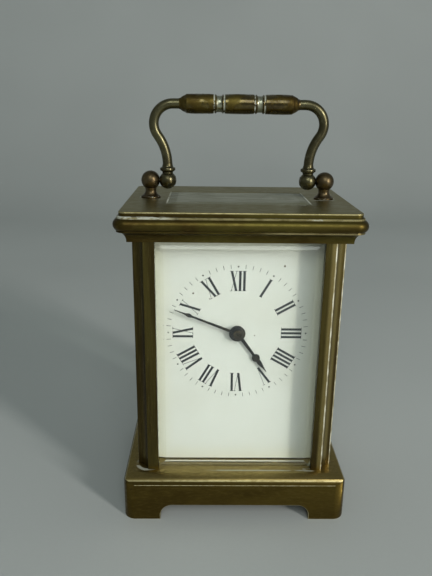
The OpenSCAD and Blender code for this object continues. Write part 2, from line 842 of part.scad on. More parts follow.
// Right handle arm: ball, collar, two bends and the end that enters the grip
module handle_arm() {
    color(brass) translate([0, 0, pivot_z]) difference() {
        union() {
            translate([arm_x, 0, 0]) rotate_extrude() {
                intersection() {
                    circle(r = arm_ball_r);
                    translate([0, -arm_ball_r]) square([arm_ball_r, 2 * arm_ball_r]);
                }
                square([arm_d / 2 - 0.2, arm_straight]);
                translate([0, collar_z]) square([collar_r - 0.5, 1.2]);
                translate([0, collar_z + 0.1]) square([collar_r, 1]);
                square([arm_d / 2 + 0.4, collar_z]);
            }
            translate([arm_x, 0, collar_z]) cylinder(d = arm_d, h = arm_straight - collar_z);
            translate([arm_x + lower_bend, 0, arm_straight]) rotate([90, 0, 0])
                rotate_extrude(start = 180 - lean - arm_lap, angle = lean + 2 * arm_lap)
                    translate([lower_bend, 0]) circle(d = arm_inner_d);
            translate([arm_out - arm_bend, 0, grip_h - arm_bend]) rotate([90, 0, 0])
                rotate_extrude(start = -lean, angle = 90 + lean) translate([arm_bend, 0]) circle(d = arm_d);
            translate([grip_len / 2, 0, grip_h]) rotate([0, 90, 0])
                cylinder(d = arm_inner_d, h = arm_out - arm_bend - grip_len / 2 + 0.1);
        }
        block([arm_flat, -2 * arm_ball_r, -arm_ball_r], [arm_flat + 2 * arm_ball_r, 2 * arm_ball_r, arm_ball_r]);
        translate([arm_flat + 1, 0, 0]) rotate([0, -90, 0]) cylinder(d = pivot_d, h = 2 * arm_ball_r + 2);
        translate([arm_x - arm_ball_r + head_in, 0, 0]) rotate([0, -90, 0]) cylinder(d = head_d, h = 3);
        translate([grip_len / 2 - 1, 0, grip_h]) rotate([0, 90, 0]) cylinder(d = spigot_d, h = 3);
    }
}

module handle_arm_right() {
    handle_arm();
}

module handle_arm_left() {
    mirror([1, 0, 0]) handle_arm();
}

// Grip with three barrels, two groups of rings and a spigot at each end
module handle_grip() {
    end = grip_len / 2;
    color(brass) translate([0, 0, pivot_z + grip_h]) rotate([0, 90, 0]) {
        translate([0, 0, -end]) rotate_extrude() {
            grip_barrel(0.9, grip_side - 0.9, grip_d / 2);
            square([arm_d / 2 + 0.5, 1]);
            grip_rings(grip_side);
            grip_barrel(grip_side + grip_ring, grip_mid, grip_d / 2);
            grip_rings(grip_side + grip_ring + grip_mid);
            grip_barrel(grip_side + 2 * grip_ring + grip_mid, grip_side - 0.9, grip_d / 2);
            translate([0, grip_len - 1]) square([arm_d / 2 + 0.5, 1]);
        }
        translate([0, 0, -end - 2]) cylinder(d = spigot_d, h = grip_len + 4);
    }
}

// Barrel with a shoulder at each end
module grip_barrel(from, length, r) {
    translate([0, from]) square([r - 0.5, length]);
    translate([0, from + 0.35]) square([r - 0.15, length - 0.7]);
    translate([0, from + 0.8]) square([r, length - 1.6]);
}

// Thin disc, narrow waist and thin disc between two grooves
module grip_rings(from) {
    r = grip_d / 2;
    translate([0, from - 0.1]) square([r - 1.3, grip_ring + 0.2]);
    translate([0, from + 0.55]) square([r - 0.35, 0.9]);
    translate([0, from + grip_ring / 2 - 0.65]) square([r - 0.8, 1.3]);
    translate([0, from + grip_ring - 1.45]) square([r - 0.35, 0.9]);
}

module handle_pivots() {
    color(steel) for (s = [0, 1]) mirror([s, 0, 0]) translate([0, 0, pivot_z]) {
        inner = arm_x - arm_ball_r + head_in;
        translate([inner - 0.1, 0, 0]) rotate([0, 90, 0]) cylinder(d = pivot_d, h = finial_flat + pin_in - inner);
        difference() {
            translate([inner - 1, 0, 0]) rotate([0, 90, 0]) cylinder(d = head_d, h = 1);
            block([inner - 2, -0.25, -3], [inner - 0.6, 0.25, 3]);
        }
    }
}

// Movement plate outline, before its holes
module plate_outline() {
    translate([-plate_w / 2, base_h]) square([plate_w, plate_h]);
}

// Pivot holes that both plates share
module train_holes() {
    hole = pivot_train_d / 2 + run_gap;
    translate([inter_x, inter_z]) circle(r = hole);
    translate([third_x, third_z]) circle(r = hole);
    translate([contrate_x, contrate_z]) circle(r = hole);
    translate([centre_x, centre_z]) circle(r = centre_r + run_gap);
    for (p = pillar_spots) translate(p) circle(d = screw_d);
}

module front_plate() {
    color(bright) {
        difference() {
            along_y(front_y, inner_front) difference() {
                plate_outline();
                train_holes();
                translate([barrel_x, barrel_z]) circle(r = wind_front_r + run_gap);
                for (p = foot_spots) translate(p) circle(r = foot_pin_r);
            }
            screw_holes_down(front_y + plate_t / 2);
        }
        rod_y(minute_x, minute_z, minute_stud_r, hour_wheel_y - 0.6, front_y);
    }
}

// Threaded holes in the upper edge of a plate
module screw_holes_down(y) {
    for (x = platform_screw_x) translate([x, y, plate_top - 4]) cylinder(d = plate_screw_d, h = 4 + cut);
}

module back_plate() {
    color(bright) difference() {
        along_y(inner_back, back_y) difference() {
            plate_outline();
            train_holes();
            translate([barrel_x, barrel_z]) circle(r = wind_d / 2 + run_gap);
            translate([click_x, click_z]) circle(d = click_screw_d);
            translate([spring_x, spring_z]) circle(d = click_screw_d);
        }
        screw_holes_down(inner_back + plate_t / 2);
    }
}

module pillars() {
    color(bright) for (p = pillar_spots) difference() {
        rod_y(p[0], p[1], pillar_d / 2, inner_front, inner_back);
        rod_y(p[0], p[1], screw_d / 2, inner_front - cut, inner_front + 5);
        rod_y(p[0], p[1], screw_d / 2, inner_back - 5, inner_back + cut);
        if (p[1] < base_h + 10) translate([p[0], 0, base_h - cut]) cylinder(d = screw_d, h = pillar_low + cut);
    }
}

// Screws through the plates into the ends of the pillars
module plate_screws() {
    color(steel) for (p = pillar_spots) {
        translate([p[0], front_y, p[1]]) rotate([-90, 0, 0]) screw_up(screw_d, plate_t + 4.5, screw_d * 1.9, 0.8);
        translate([p[0], back_y, p[1]]) rotate([90, 0, 0]) screw_up(screw_d, plate_t + 4.5, screw_d * 1.9, 0.8);
    }
}

// Screws through the floor of the base into the lower pillars
module movement_screws() {
    color(steel) for (x = mount_x) translate([x, 0, base_h - floor_t])
        screw_up(screw_d, floor_t + pillar_low - 0.5, screw_d * 2.2, 1);
}

module barrel() {
    turn = toward(barrel_x, barrel_z, inter_x, inter_z);
    color(bright) difference() {
        union() {
            rod_y(barrel_x, barrel_z, drum_r, drum_front, drum_back);
            along_y(drum_back - 1.5, drum_back) translate([barrel_x, barrel_z])
                toothed(barrel_teeth, slow_size, wheel_form, turn);
        }
        rod_y(barrel_x, barrel_z, drum_r - drum_wall, drum_front + drum_wall, drum_back + cut);
        rod_y(barrel_x, barrel_z, wind_d / 2 + run_gap, drum_front - cut, drum_back);
    }
}

module barrel_cover() {
    color(bright) along_y(drum_back - drum_wall, drum_back) translate([barrel_x, barrel_z]) difference() {
        circle(r = drum_r - drum_wall);
        circle(r = wind_d / 2 + run_gap);
    }
}

// Steel strip wound from the arbor out to the wall of the drum
function spiral(r0, r1, turns, steps, shift) = [for (i = [0:turns * steps])
    let (r = r0 + (r1 - r0) * i / (turns * steps) + shift, a = 360 * i / steps) [r * cos(a), r * sin(a)]];

function backwards(list) = [for (i = [len(list) - 1:-1:0]) list[i]];

module mainspring() {
    inside = spiral(spring_r0, spring_r1, spring_turns, spring_steps, 0);
    outside = spiral(spring_r0, spring_r1, spring_turns, spring_steps, spring_t);
    color(steel) along_y(drum_front + drum_wall + 0.3, drum_back - drum_wall - 0.3)
        translate([barrel_x, barrel_z]) polygon(concat(inside, backwards(outside)));
}

module winding_arbor() {
    color(steel) union() {
        rod_y(barrel_x, barrel_z, wind_front_r, front_y + 0.2, inner_back);
        rod_y(barrel_x, barrel_z, wind_d / 2, front_stop, ratchet_y);
        rod_y(barrel_x, barrel_z, hub_spring_r, drum_front + drum_wall + 0.2, drum_back - drum_wall - 0.2);
        along_y(ratchet_y - 1, wind_end) translate([barrel_x, barrel_z]) square(wind_square, center = true);
    }
}

// Saw teeth whose steep sides face the click
module ratchet_wheel() {
    step = 360 / ratchet_teeth;
    color(steel) along_y(ratchet_y, ratchet_y + ratchet_t) translate([barrel_x, barrel_z]) difference() {
        polygon([for (i = [0:ratchet_teeth - 1]) for (k = [[ratchet_r, 0], [ratchet_r - 0.9, 0.06]])
            k[0] * [cos((i + k[1]) * step), sin((i + k[1]) * step)]]);
        square(wind_square, center = true);
    }
}

// Arm above the ratchet wheel, clear of its teeth by the gap of the click
module click() {
    tip = -click_len;
    color(steel) along_y(click_y, click_y + ratchet_t) translate([click_x, click_z]) difference() {
        union() {
            circle(r = click_r);
            polygon([[0, -click_r], [tip, 0], [tip + 0.3, 1.1], [-2, click_r], [0, click_r]]);
        }
        circle(r = click_screw_d / 2 + run_gap);
    }
}

// Bent strip that presses the click home
module click_spring() {
    color(steel) along_y(click_y, click_y + ratchet_t) difference() {
        union() {
            translate([spring_x, spring_z]) circle(r = 1.7);
            translate([spring_x - click_spring_len, click_z + click_r + 0.1]) square([click_spring_len, 0.5]);
        }
        translate([spring_x, spring_z]) circle(d = click_screw_d);
    }
}

module click_screws() {
    color(steel) for (p = [[click_x, click_z], [spring_x, spring_z]])
        translate([p[0], click_y + ratchet_t + 0.1, p[1]]) rotate([90, 0, 0])
            screw_up(click_screw_d, click_y + ratchet_t + 0.1 - inner_back - 0.2, click_screw_d * 1.9, 0.8);
}

module intermediate_wheel() {
    color(bright) train_wheel(inter_x, inter_z, inter_teeth, slow_size,
        toward(inter_x, inter_z, centre_x, centre_z), arbor_d / 2, inter_wheel_y);
}

module intermediate_arbor() {
    turn = toward(inter_x, inter_z, barrel_x, barrel_z) + 180 / inter_leaves;
    color(steel) pinion_arbor(inter_x, inter_z, inter_leaves, slow_size, turn, drum_back - 2.2, drum_back + 0.9);
}

module centre_wheel() {
    color(bright) train_wheel(centre_x, centre_z, centre_teeth, centre_size,
        toward(centre_x, centre_z, third_x, third_z), pipe_r, centre_wheel_y);
}

// Pipe that turns on the centre arbor and carries leaves at its rear
module centre_pinion() {
    turn = toward(centre_x, centre_z, inter_x, inter_z) + 180 / centre_leaves;
    color(steel) along_y(inner_front + end_gap, inner_back - end_gap) translate([centre_x, centre_z]) difference() {
        circle(r = pipe_r);
        circle(r = centre_r + run_gap);
    }
    color(steel) along_y(inter_wheel_y - 0.5, inter_wheel_y + wheel_t + 0.5) translate([centre_x, centre_z]) difference() {
        toothed(centre_leaves, slow_size, leaf_form, turn);
        circle(r = pipe_r);
    }
}

// Arbor of the minute hand, with the setting square at the rear
module centre_arbor() {
    color(steel) union() {
        rod_y(centre_x, centre_z, centre_r, cannon_front, back_y + 0.8);
        rod_y(centre_x, centre_z, nut_hole_r, nut_front + 0.2, cannon_front + 1);
        along_y(back_y, wind_end) translate([centre_x, centre_z]) square(centre_r * 1.38, center = true);
    }
}

module third_wheel() {
    color(bright) train_wheel(third_x, third_z, third_teeth, third_size,
        toward(third_x, third_z, contrate_x, contrate_z), arbor_third, third_wheel_y);
}

module third_arbor() {
    turn = toward(third_x, third_z, centre_x, centre_z) + 180 / third_leaves;
    color(steel) pinion_arbor(third_x, third_z, third_leaves, centre_size, turn,
        centre_wheel_y - 0.6, centre_wheel_y + wheel_t + 0.6);
}

// Disc with upright teeth round its rim
module contrate_wheel() {
    step = 360 / contrate_teeth;
    half = 0.4;
    share = 0.16;
    out = contrate_r + 2;
    color(bright) union() {
        along_y(contrate_disc_y, contrate_disc_y + contrate_disc_t) translate([contrate_x, contrate_z]) difference() {
            circle(r = contrate_r + half);
            spoke_gaps(contrate_r - half - 0.4, arbor_contrate + 1.3, 4, 1.2);
            circle(r = arbor_contrate);
        }
        along_y(contrate_disc_y + contrate_disc_t, crown_y) translate([contrate_x, contrate_z]) intersection() {
            difference() {
                circle(r = contrate_r + half);
                circle(r = contrate_r - half);
            }
            for (i = [0:contrate_teeth - 1]) rotate(90 + i * step)
                polygon([[0, 0], out * [cos(share * step), sin(-share * step)], out * [cos(share * step), sin(share * step)]]);
        }
    }
}

module contrate_arbor() {
    turn = toward(contrate_x, contrate_z, third_x, third_z) + 180 / contrate_leaves;
    color(steel) pinion_arbor(contrate_x, contrate_z, contrate_leaves, third_size, turn,
        third_wheel_y - 0.6, third_wheel_y + wheel_t + 0.6);
}

// Pipe and pinion pressed on the centre arbor in front of the front plate
module cannon_pinion() {
    turn = toward(centre_x, centre_z, minute_x, minute_z);
    color(steel) difference() {
        union() {
            rod_y(centre_x, centre_z, cannon_r, cannon_front + 0.1, front_y - 0.2);
            along_y(motion_wheel_y - 0.2, front_y - 0.3) translate([centre_x, centre_z])
                toothed(cannon_teeth, cannon_size, leaf_form, turn);
        }
        rod_y(centre_x, centre_z, centre_r, cannon_front - cut, front_y + cut);
    }
}

// Wheel and pinion that turn on a stud of the front plate
module minute_wheel() {
    turn = toward(minute_x, minute_z, centre_x, centre_z);
    bore = minute_stud_r + run_gap;
    wheel_front = motion_wheel_y;
    color(bright) difference() {
        union() {
            along_y(wheel_front, wheel_front + 0.8) translate([minute_x, minute_z])
                toothed(minute_teeth, cannon_size, wheel_form, turn + 180 / minute_teeth);
            along_y(hour_wheel_y - 0.3, wheel_front) translate([minute_x, minute_z])
                toothed(minute_leaves, hour_size, [0.5, 1.15, 0.2, 0.09], turn + 180 / minute_leaves);
        }
        rod_y(minute_x, minute_z, bore, hour_wheel_y - 2, front_y);
    }
}

module hour_wheel() {
    turn = toward(centre_x, centre_z, minute_x, minute_z);
    color(bright) difference() {
        union() {
            along_y(hour_wheel_y, hour_wheel_y + 0.8) translate([centre_x, centre_z])
                toothed(hour_teeth, hour_size, wheel_form, turn);
            rod_y(centre_x, centre_z, hour_pipe_r, hour_front, hour_wheel_y + 0.8);
        }
        rod_y(centre_x, centre_z, cannon_r + run_gap, hour_front - cut, front_y);
    }
}

module dial() {
    color("ivory") union() {
        along_y(dial_front, dial_back) difference() {
            translate([-dial_w / 2, base_h + 0.4]) square([dial_w, post_h - 0.8]);
            translate([centre_x, centre_z]) circle(r = hour_pipe_r + 0.3);
        }
        for (p = foot_spots) rod_y(p[0], p[1], foot_pin_r, dial_back, inner_front - 0.3);
    }
}

// Both hands point up before they are turned to the time shown
module hour_hand() {
    color(dark) along_y(hour_front, hour_front + hand_t) translate([centre_x, centre_z]) rotate(-shown_time / 2)
        difference() {
            union() {
                circle(r = hub_r * 0.93);
                polygon([[-1, 1.5], [1, 1.5], [0.55, hour_len * 0.62], [-0.55, hour_len * 0.62]]);
                translate([0, hour_len * 0.68]) circle(r = 1.7);
                polygon([[-1.25, hour_len * 0.72], [1.25, hour_len * 0.72], [0.12, hour_len], [-0.12, hour_len]]);
            }
            circle(r = hour_pipe_r);
        }
}

module minute_hand() {
    color(dark) along_y(minute_front, minute_front + hand_t) translate([centre_x, centre_z]) rotate(-shown_time * 6)
        difference() {
            union() {
                circle(r = hub_r);
                polygon([[-0.8, 1.5], [0.8, 1.5], [0.4, minute_len * 0.73], [-0.4, minute_len * 0.73]]);
                translate([0, minute_len * 0.76]) circle(r = 0.85);
                polygon([[-0.7, minute_len * 0.78], [0.7, minute_len * 0.78], [0.1, minute_len], [-0.1, minute_len]]);
            }
            circle(r = cannon_r);
        }
}

module hand_nut() {
    color(steel) along_y(nut_front, cannon_front) translate([centre_x, centre_z]) difference() {
        circle(r = 1.5);
        circle(r = nut_hole_r);
    }
}

// Plate across the tops of the movement plates, with the bracket under the escape pinion
module platform() {
    color(bright) difference() {
        union() {
            block([platform_left, front_y, platform_z], [platform_right, back_y, platform_top]);
            block([escape_x - potence_half, escape_y + 2.6, escape_low - potence_t],
                [escape_x + potence_half, escape_y + 4.2, platform_z]);
            block([escape_x - potence_half, escape_y - 0.9, escape_low - potence_t],
                [escape_x + potence_half, escape_y + 4.2, escape_low]);
        }
        translate([escape_x, escape_y, platform_z - cut]) cylinder(r = escape_pinion_pr + 0.6, h = platform_t + 2 * cut);
        translate([escape_x, escape_y, escape_low - potence_t - cut])
            cylinder(r = tiny_pivot + run_gap, h = potence_t + 2 * cut);
        for (x = [lever_x, balance_x]) translate([x, escape_y, platform_z - cut])
            cylinder(r = tiny_pivot + run_gap, h = platform_t + 2 * cut);
        for (x = platform_screw_x, y = plate_mid) translate([x, y, platform_z - cut]) cylinder(d = plate_screw_d, h = platform_t + 2 * cut);
        for (p = bridge_feet) translate([p[0], p[1], platform_z - cut]) cylinder(d = plate_screw_d, h = platform_t + 2 * cut);
    }
}

// Screws of the platform, the bridge and the cock
module platform_screws() {
    color(steel) {
        for (x = platform_screw_x, y = plate_mid) translate([x, y, platform_top]) mirror([0, 0, 1])
            screw_up(plate_screw_d, platform_t + platform_bite, plate_screw_d * 1.9, 0.7);
        for (i = [0, 1]) translate([bridge_feet[i][0], bridge_feet[i][1], bridge_z + 1]) mirror([0, 0, 1])
            screw_up(plate_screw_d, bridge_z + 1 - platform_z - 0.1, plate_screw_d * 1.7, 0.5);
        translate([cock_x, escape_y, cock_z + 1.3]) mirror([0, 0, 1])
            screw_up(plate_screw_d, cock_z + 1.3 - platform_z - 0.1, plate_screw_d * 1.9, 0.6);
    }
}

// Escape wheel, its arbor and the pinion driven by the contrate wheel
module escape_wheel() {
    step = 360 / escape_teeth;
    size = 2 * escape_pinion_pr / escape_leaves;
    color(bright) translate([escape_x, escape_y, 0]) union() {
        translate([0, 0, lever_z]) linear_extrude(0.5) difference() {
            polygon([for (i = [0:escape_teeth - 1]) for (k = [[escape_r - 1, 0.05], [escape_r, 0.3], [escape_r, 0.38], [escape_r - 1, 0.5]])
                k[0] * [cos((i + k[1]) * step), sin((i + k[1]) * step)]]);
            spoke_gaps(escape_r - 1.5, 0.9, 4, 0.6);
        }
        translate([0, 0, escape_low + 0.1]) cylinder(r = 0.45, h = bridge_z - escape_low - 0.2);
        translate([0, 0, escape_low - 0.8]) cylinder(r = tiny_pivot, h = bridge_z + 1 - escape_low + 0.7);
        translate([0, 0, escape_low + 0.7]) linear_extrude(1.9)
            toothed(escape_leaves, size, [0.3, 1.1, 0.17, 0.07], 270 + 180 / escape_leaves);
    }
}

module escape_bridge() {
    color(bright) difference() {
        union() {
            block([lever_x - 1.3, escape_y - 1.3, bridge_z], [bridge_feet[0][0] + 1.3, escape_y + 1.3, bridge_z + 1]);
            block([lever_x - 1.3, escape_y - 1.3, bridge_z], [lever_x + 1.3, bridge_feet[1][1] + 1.3, bridge_z + 1]);
            for (i = [0, 1]) translate([bridge_feet[i][0] - 1.3, bridge_feet[i][1] - 1.3, platform_top])
                cube([2.6, 2.6, bridge_z - platform_top + 1]);
        }
        for (x = [escape_x, lever_x]) translate([x, escape_y, bridge_z - cut]) cylinder(r = tiny_pivot + run_gap, h = 3);
        for (i = [0, 1]) translate([bridge_feet[i][0], bridge_feet[i][1], platform_top - cut])
            cylinder(d = plate_screw_d, h = bridge_z - platform_top + 1 + 2 * cut);
    }
}

// Lever with two pallets that face the escape wheel and a fork that faces the balance
module lever() {
    fork = balance_dist - roller_pin - 0.75;
    color(steel) translate([lever_x, escape_y, 0]) {
        translate([0, 0, lever_z]) linear_extrude(0.5) {
            circle(r = 0.8);
            for (s = [0, 1]) mirror([0, s]) {
                translate([-0.35, 0]) square([0.7, pallet_y + 0.6]);
                translate([0, pallet_y]) square([pallet_x, 0.6]);
            }
            translate([-fork, -0.35]) square([fork, 0.7]);
            for (s = [0, 1]) mirror([0, s]) translate([-fork - 0.3, 0.2]) square([1, 0.5]);
        }
        translate([0, 0, platform_top + 0.1]) cylinder(r = 0.45, h = bridge_z - platform_top - 0.2);
        translate([0, 0, platform_z + 0.3]) cylinder(r = tiny_pivot, h = bridge_z + 0.9 - platform_z - 0.3);
    }
}

// Balance staff, roller, rim with one bar, and timing screws
module balance() {
    color(bright) translate([balance_x, escape_y, 0]) {
        difference() {
            union() {
                translate([0, 0, balance_z]) linear_extrude(1) difference() {
                    circle(r = balance_r);
                    difference() {
                        circle(r = balance_r - 0.8);
                        square([2 * balance_r, 1], center = true);
                    }
                }
                for (i = [0:11]) rotate(i * 30 + 15) translate([balance_r - 0.2, 0, balance_z + 0.5])
                    rotate([0, 90, 0]) cylinder(r = 0.35, h = 0.55);
            }
            translate([0, 0, balance_z - cut]) cylinder(r = staff_r, h = 2);
        }
        translate([0, 0, lever_z - 0.9]) cylinder(r = staff_r, h = cock_z - lever_z + 0.9 - 0.1);
        translate([0, 0, platform_z + 0.3]) cylinder(r = tiny_pivot, h = cock_z + 1 - platform_z - 0.3);
        translate([0, 0, lever_z + 0.7]) cylinder(r = roller_pin + 0.5, h = 0.5);
        translate([roller_pin, 0, lever_z - 0.1]) cylinder(r = 0.2, h = 1);
        translate([0, 0, hair_z - 0.2]) cylinder(r = hair_r0 - 0.05, h = 0.6);
    }
}

// Flat spiral from the collet out to its stud
hair_inside = spiral(hair_r0, hair_r1, hair_turns, 36, 0);
hair_outside = spiral(hair_r0, hair_r1, hair_turns, 36, hair_t);
hair_gap = min([for (i = [0:(hair_turns - 1) * 36]) norm(hair_inside[i + 36] - hair_outside[i])]);
echo(least_gap_of_hairspring = hair_gap);

module hairspring() {
    color(steel) translate([balance_x, escape_y, hair_z]) linear_extrude(0.3)
        polygon(concat(hair_inside, backwards(hair_outside)));
}

// Cock over the balance, with the stud of the hairspring
module balance_cock() {
    color(bright) difference() {
        union() {
            block([cock_x - cock_foot, escape_y - cock_half, platform_top],
                [cock_x + cock_foot - 0.6, escape_y + cock_half, cock_z + 1.3]);
            block([cock_x, escape_y - 1.6, cock_z], [balance_x, escape_y + 1.6, cock_z + 1.3]);
            translate([balance_x, escape_y, cock_z]) cylinder(r = 1.6, h = 1.3);
            translate([balance_x, escape_y, cock_z]) cylinder(r = 1.1, h = 1.9);
            block([balance_x + 1, escape_y - 0.7, cock_z], [balance_x + hair_r1 + 0.9, escape_y + 0.7, cock_z + 1]);
            block([balance_x + hair_r1 + hair_t, escape_y, hair_z - 0.1], [balance_x + hair_r1 + 0.9, escape_y + 0.6, cock_z + 1]);
        }
        translate([balance_x, escape_y, cock_z - cut]) cylinder(r = tiny_pivot + run_gap, h = 1.5 + cut);
        translate([cock_x, escape_y, platform_top - cut])
            cylinder(d = plate_screw_d, h = cock_z - platform_top + 1.3 + 2 * cut);
    }
}

// Index that turns on the boss of the cock
module regulator_index() {
    color(steel) translate([balance_x, escape_y, cock_z + 1.35]) linear_extrude(0.4) rotate(90) difference() {
        union() {
            circle(r = 1.9);
            polygon([[0, -0.5], [index_len, -0.15], [index_len, 0.15], [0, 0.5]]);
        }
        circle(r = 1.1 + run_gap);
    }
}

base();
post_front_left();
post_front_right();
post_rear_left();
post_rear_right();
cornice();
front_glass();
left_glass();
right_glass();
top_glass();
case_screws();
door_frame();
door_glass();
door_knob();
door_pins();
finial_left();
finial_right();
finial_nuts();
handle_arm_left();
handle_arm_right();
handle_grip();
handle_pivots();
front_plate();
back_plate();
pillars();
plate_screws();
movement_screws();
barrel();
barrel_cover();
mainspring();
winding_arbor();
ratchet_wheel();
click();
click_spring();
click_screws();
intermediate_wheel();
intermediate_arbor();
centre_wheel();
centre_pinion();
centre_arbor();
third_wheel();
third_arbor();
contrate_wheel();
contrate_arbor();
cannon_pinion();
minute_wheel();
hour_wheel();
dial();
hour_hand();
minute_hand();
hand_nut();
platform();
platform_screws();
escape_wheel();
escape_bridge();
lever();
balance();
hairspring();
balance_cock();
regulator_index();
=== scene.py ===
import bpy
import bmesh
from math import cos, pi, radians, sin, sqrt
from mathutils import Matrix, Vector


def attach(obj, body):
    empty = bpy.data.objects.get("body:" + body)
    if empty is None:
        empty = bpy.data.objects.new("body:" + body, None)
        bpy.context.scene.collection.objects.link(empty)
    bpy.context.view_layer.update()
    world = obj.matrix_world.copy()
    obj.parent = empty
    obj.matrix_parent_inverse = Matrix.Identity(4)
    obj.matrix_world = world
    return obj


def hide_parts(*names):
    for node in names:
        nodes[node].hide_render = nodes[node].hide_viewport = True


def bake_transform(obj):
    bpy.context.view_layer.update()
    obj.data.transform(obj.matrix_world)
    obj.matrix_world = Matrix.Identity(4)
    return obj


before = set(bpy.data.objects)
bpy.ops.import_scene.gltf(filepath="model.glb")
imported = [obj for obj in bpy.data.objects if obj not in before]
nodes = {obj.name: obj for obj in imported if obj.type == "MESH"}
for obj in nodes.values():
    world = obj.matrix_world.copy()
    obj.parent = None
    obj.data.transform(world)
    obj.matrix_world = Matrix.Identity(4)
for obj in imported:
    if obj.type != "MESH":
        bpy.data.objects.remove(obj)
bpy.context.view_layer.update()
scene = bpy.context.scene
mm = 0.001
print("frame loaded:", len(nodes), "nodes")


# camera, measured against the clock's edges: its place in millimetres, its turns in degrees
camera = dict(place=(-11.19, -222.18, 154), yaw=0.91, down=17.67, roll=-0.72, lens=36.73,
              sensor=36, nearest=0.01)


def placeCamera():
    yaw, down, roll = (radians(camera[k]) for k in ("yaw", "down", "roll"))
    ahead = Vector((sin(yaw) * cos(down), cos(yaw) * cos(down), -sin(down)))
    right = Vector((cos(yaw), -sin(yaw), 0))
    below = ahead.cross(right)
    side = cos(roll) * right + sin(roll) * below
    low = -sin(roll) * right + cos(roll) * below
    data = bpy.data.cameras.new("camera")
    data.sensor_fit = "VERTICAL"
    data.sensor_width = data.sensor_height = camera["sensor"]
    data.lens = camera["lens"]
    data.clip_start = camera["nearest"]
    obj = bpy.data.objects.new("camera", data)
    scene.collection.objects.link(obj)
    turn = Matrix((side, -low, -ahead)).transposed()
    obj.matrix_world = Matrix.Translation(Vector(camera["place"]) * mm) @ turn.to_4x4()
    scene.camera = obj


placeCamera()
print("camera placed")


# node helpers
def startMaterial(name):
    mat = bpy.data.materials.new(name)
    mat.use_nodes = True
    tree = mat.node_tree
    tree.nodes.clear()
    out = tree.nodes.new("ShaderNodeOutputMaterial")
    shader = tree.nodes.new("ShaderNodeBsdfPrincipled")
    tree.links.new(shader.outputs[0], out.inputs[0])
    return mat, tree, shader


def setIn(tree, node, values):
    for key, value in values.items():
        if isinstance(value, bpy.types.NodeSocket):
            tree.links.new(value, node.inputs[key])
        else:
            node.inputs[key].default_value = value


def coords(tree, scale=(1, 1, 1)):
    place = tree.nodes.new("ShaderNodeTexCoord")
    mapping = tree.nodes.new("ShaderNodeMapping")
    tree.links.new(place.outputs["Object"], mapping.inputs[0])
    mapping.inputs["Scale"].default_value = scale
    return mapping.outputs[0]


def noise(tree, vector, size, detail=3, rough=0.55, distort=0.0):
    # size is the rough width of a blotch in millimetres
    node = tree.nodes.new("ShaderNodeTexNoise")
    setIn(tree, node, {"Vector": vector, "Scale": 1000 / size, "Detail": detail,
                       "Roughness": rough, "Distortion": distort})
    return node.outputs[0]


def ramp(tree, value, low, high, a=0.0, b=1.0):
    node = tree.nodes.new("ShaderNodeMapRange")
    node.interpolation_type = "SMOOTHSTEP"
    setIn(tree, node, {0: value, 1: low, 2: high, 3: a, 4: b})
    return node.outputs[0]


def calc(tree, kind, a, b=0.5, clamp=False):
    node = tree.nodes.new("ShaderNodeMath")
    node.operation = kind
    node.use_clamp = clamp
    setIn(tree, node, {0: a, 1: b})
    return node.outputs[0]


def blendColour(tree, factor, a, b):
    node = tree.nodes.new("ShaderNodeMix")
    node.data_type = "RGBA"
    setIn(tree, node, {0: factor})
    for key, value in ((6, a), (7, b)):
        if isinstance(value, bpy.types.NodeSocket):
            tree.links.new(value, node.inputs[key])
        else:
            node.inputs[key].default_value = (*value, 1)
    return node.outputs[2]


def axisValue(tree, axis):
    # how far along X, Y or Z a point of the clock is, in metres
    place = tree.nodes.new("ShaderNodeTexCoord")
    parts = tree.nodes.new("ShaderNodeSeparateXYZ")
    tree.links.new(place.outputs["Object"], parts.inputs[0])
    return parts.outputs[axis]


def band(tree, axis, middle, half, mirrored=False):
    # 1 at the middle of a band across the clock, 0 beyond its half width, all in millimetres
    value = axisValue(tree, axis)
    if mirrored:
        value = calc(tree, "ABSOLUTE", value)
    away = calc(tree, "ABSOLUTE", calc(tree, "SUBTRACT", value, middle * mm))
    return ramp(tree, away, half * 0.55 * mm, half * mm, 1, 0)


def crevice(tree, distance):
    # 1 deep in a corner, 0 in the open
    node = tree.nodes.new("ShaderNodeAmbientOcclusion")
    node.samples = 6
    setIn(tree, node, {"Distance": distance * mm})
    return ramp(tree, node.outputs["AO"], 0.35, 0.8, 1, 0)


def bump(tree, shader, height, strength, depth):
    node = tree.nodes.new("ShaderNodeBump")
    setIn(tree, node, {"Height": height, "Strength": strength, "Distance": depth * mm})
    tree.links.new(node.outputs[0], shader.inputs["Normal"])


# case brass: olive tarnish, brown patches, dark pits and chalky polish left in the corners, with painted
# shade deep in the corners and bands of painted highlight and shade
# patch, mottle, pit and the first number of spread are blotch sizes in millimetres
brassLook = dict(
    bright=(0.34, 0.25, 0.075), olive=(0.125, 0.094, 0.023), brown=(0.068, 0.044, 0.012),
    # the gold tone is the default colour of the painted highlight bands
    highlightGold=(0.44, 0.34, 0.13), polish=(0.52, 0.53, 0.45), pitTone=(0.03, 0.024, 0.014),
    # the corner tone is painted shade, laid deep in corners and creases
    cornerShadeTone=(0.06, 0.045, 0.02), patch=15, mottle=1.5, pit=0.5, spread=(2.6, 5, 0.7), fleck=0.24,
    rough=(0.24, 0.40), chalkRough=0.85, dulled=0.0, coat=0.0, bump=0.16, depth=0.06,
)
paleHighlightGold = (0.62, 0.53, 0.27)  # painted highlight: pale gold for the bright lines along edges and across the base's slope


def around(tree, x, y, inner, outer):
    # 1 on a ring round an upright axis, mirrored to both sides
    dx = calc(tree, "SUBTRACT", calc(tree, "ABSOLUTE", axisValue(tree, 0)), x * mm)
    dy = calc(tree, "SUBTRACT", axisValue(tree, 1), y * mm)
    away = calc(tree, "SQRT", calc(tree, "ADD", *(calc(tree, "MULTIPLY", d, d) for d in (dx, dy))))
    return calc(tree, "MULTIPLY", ramp(tree, away, inner * 0.94 * mm, inner * mm),
                ramp(tree, away, (inner * 0.4 + outer * 0.6) * mm, outer * mm, 1, 0))


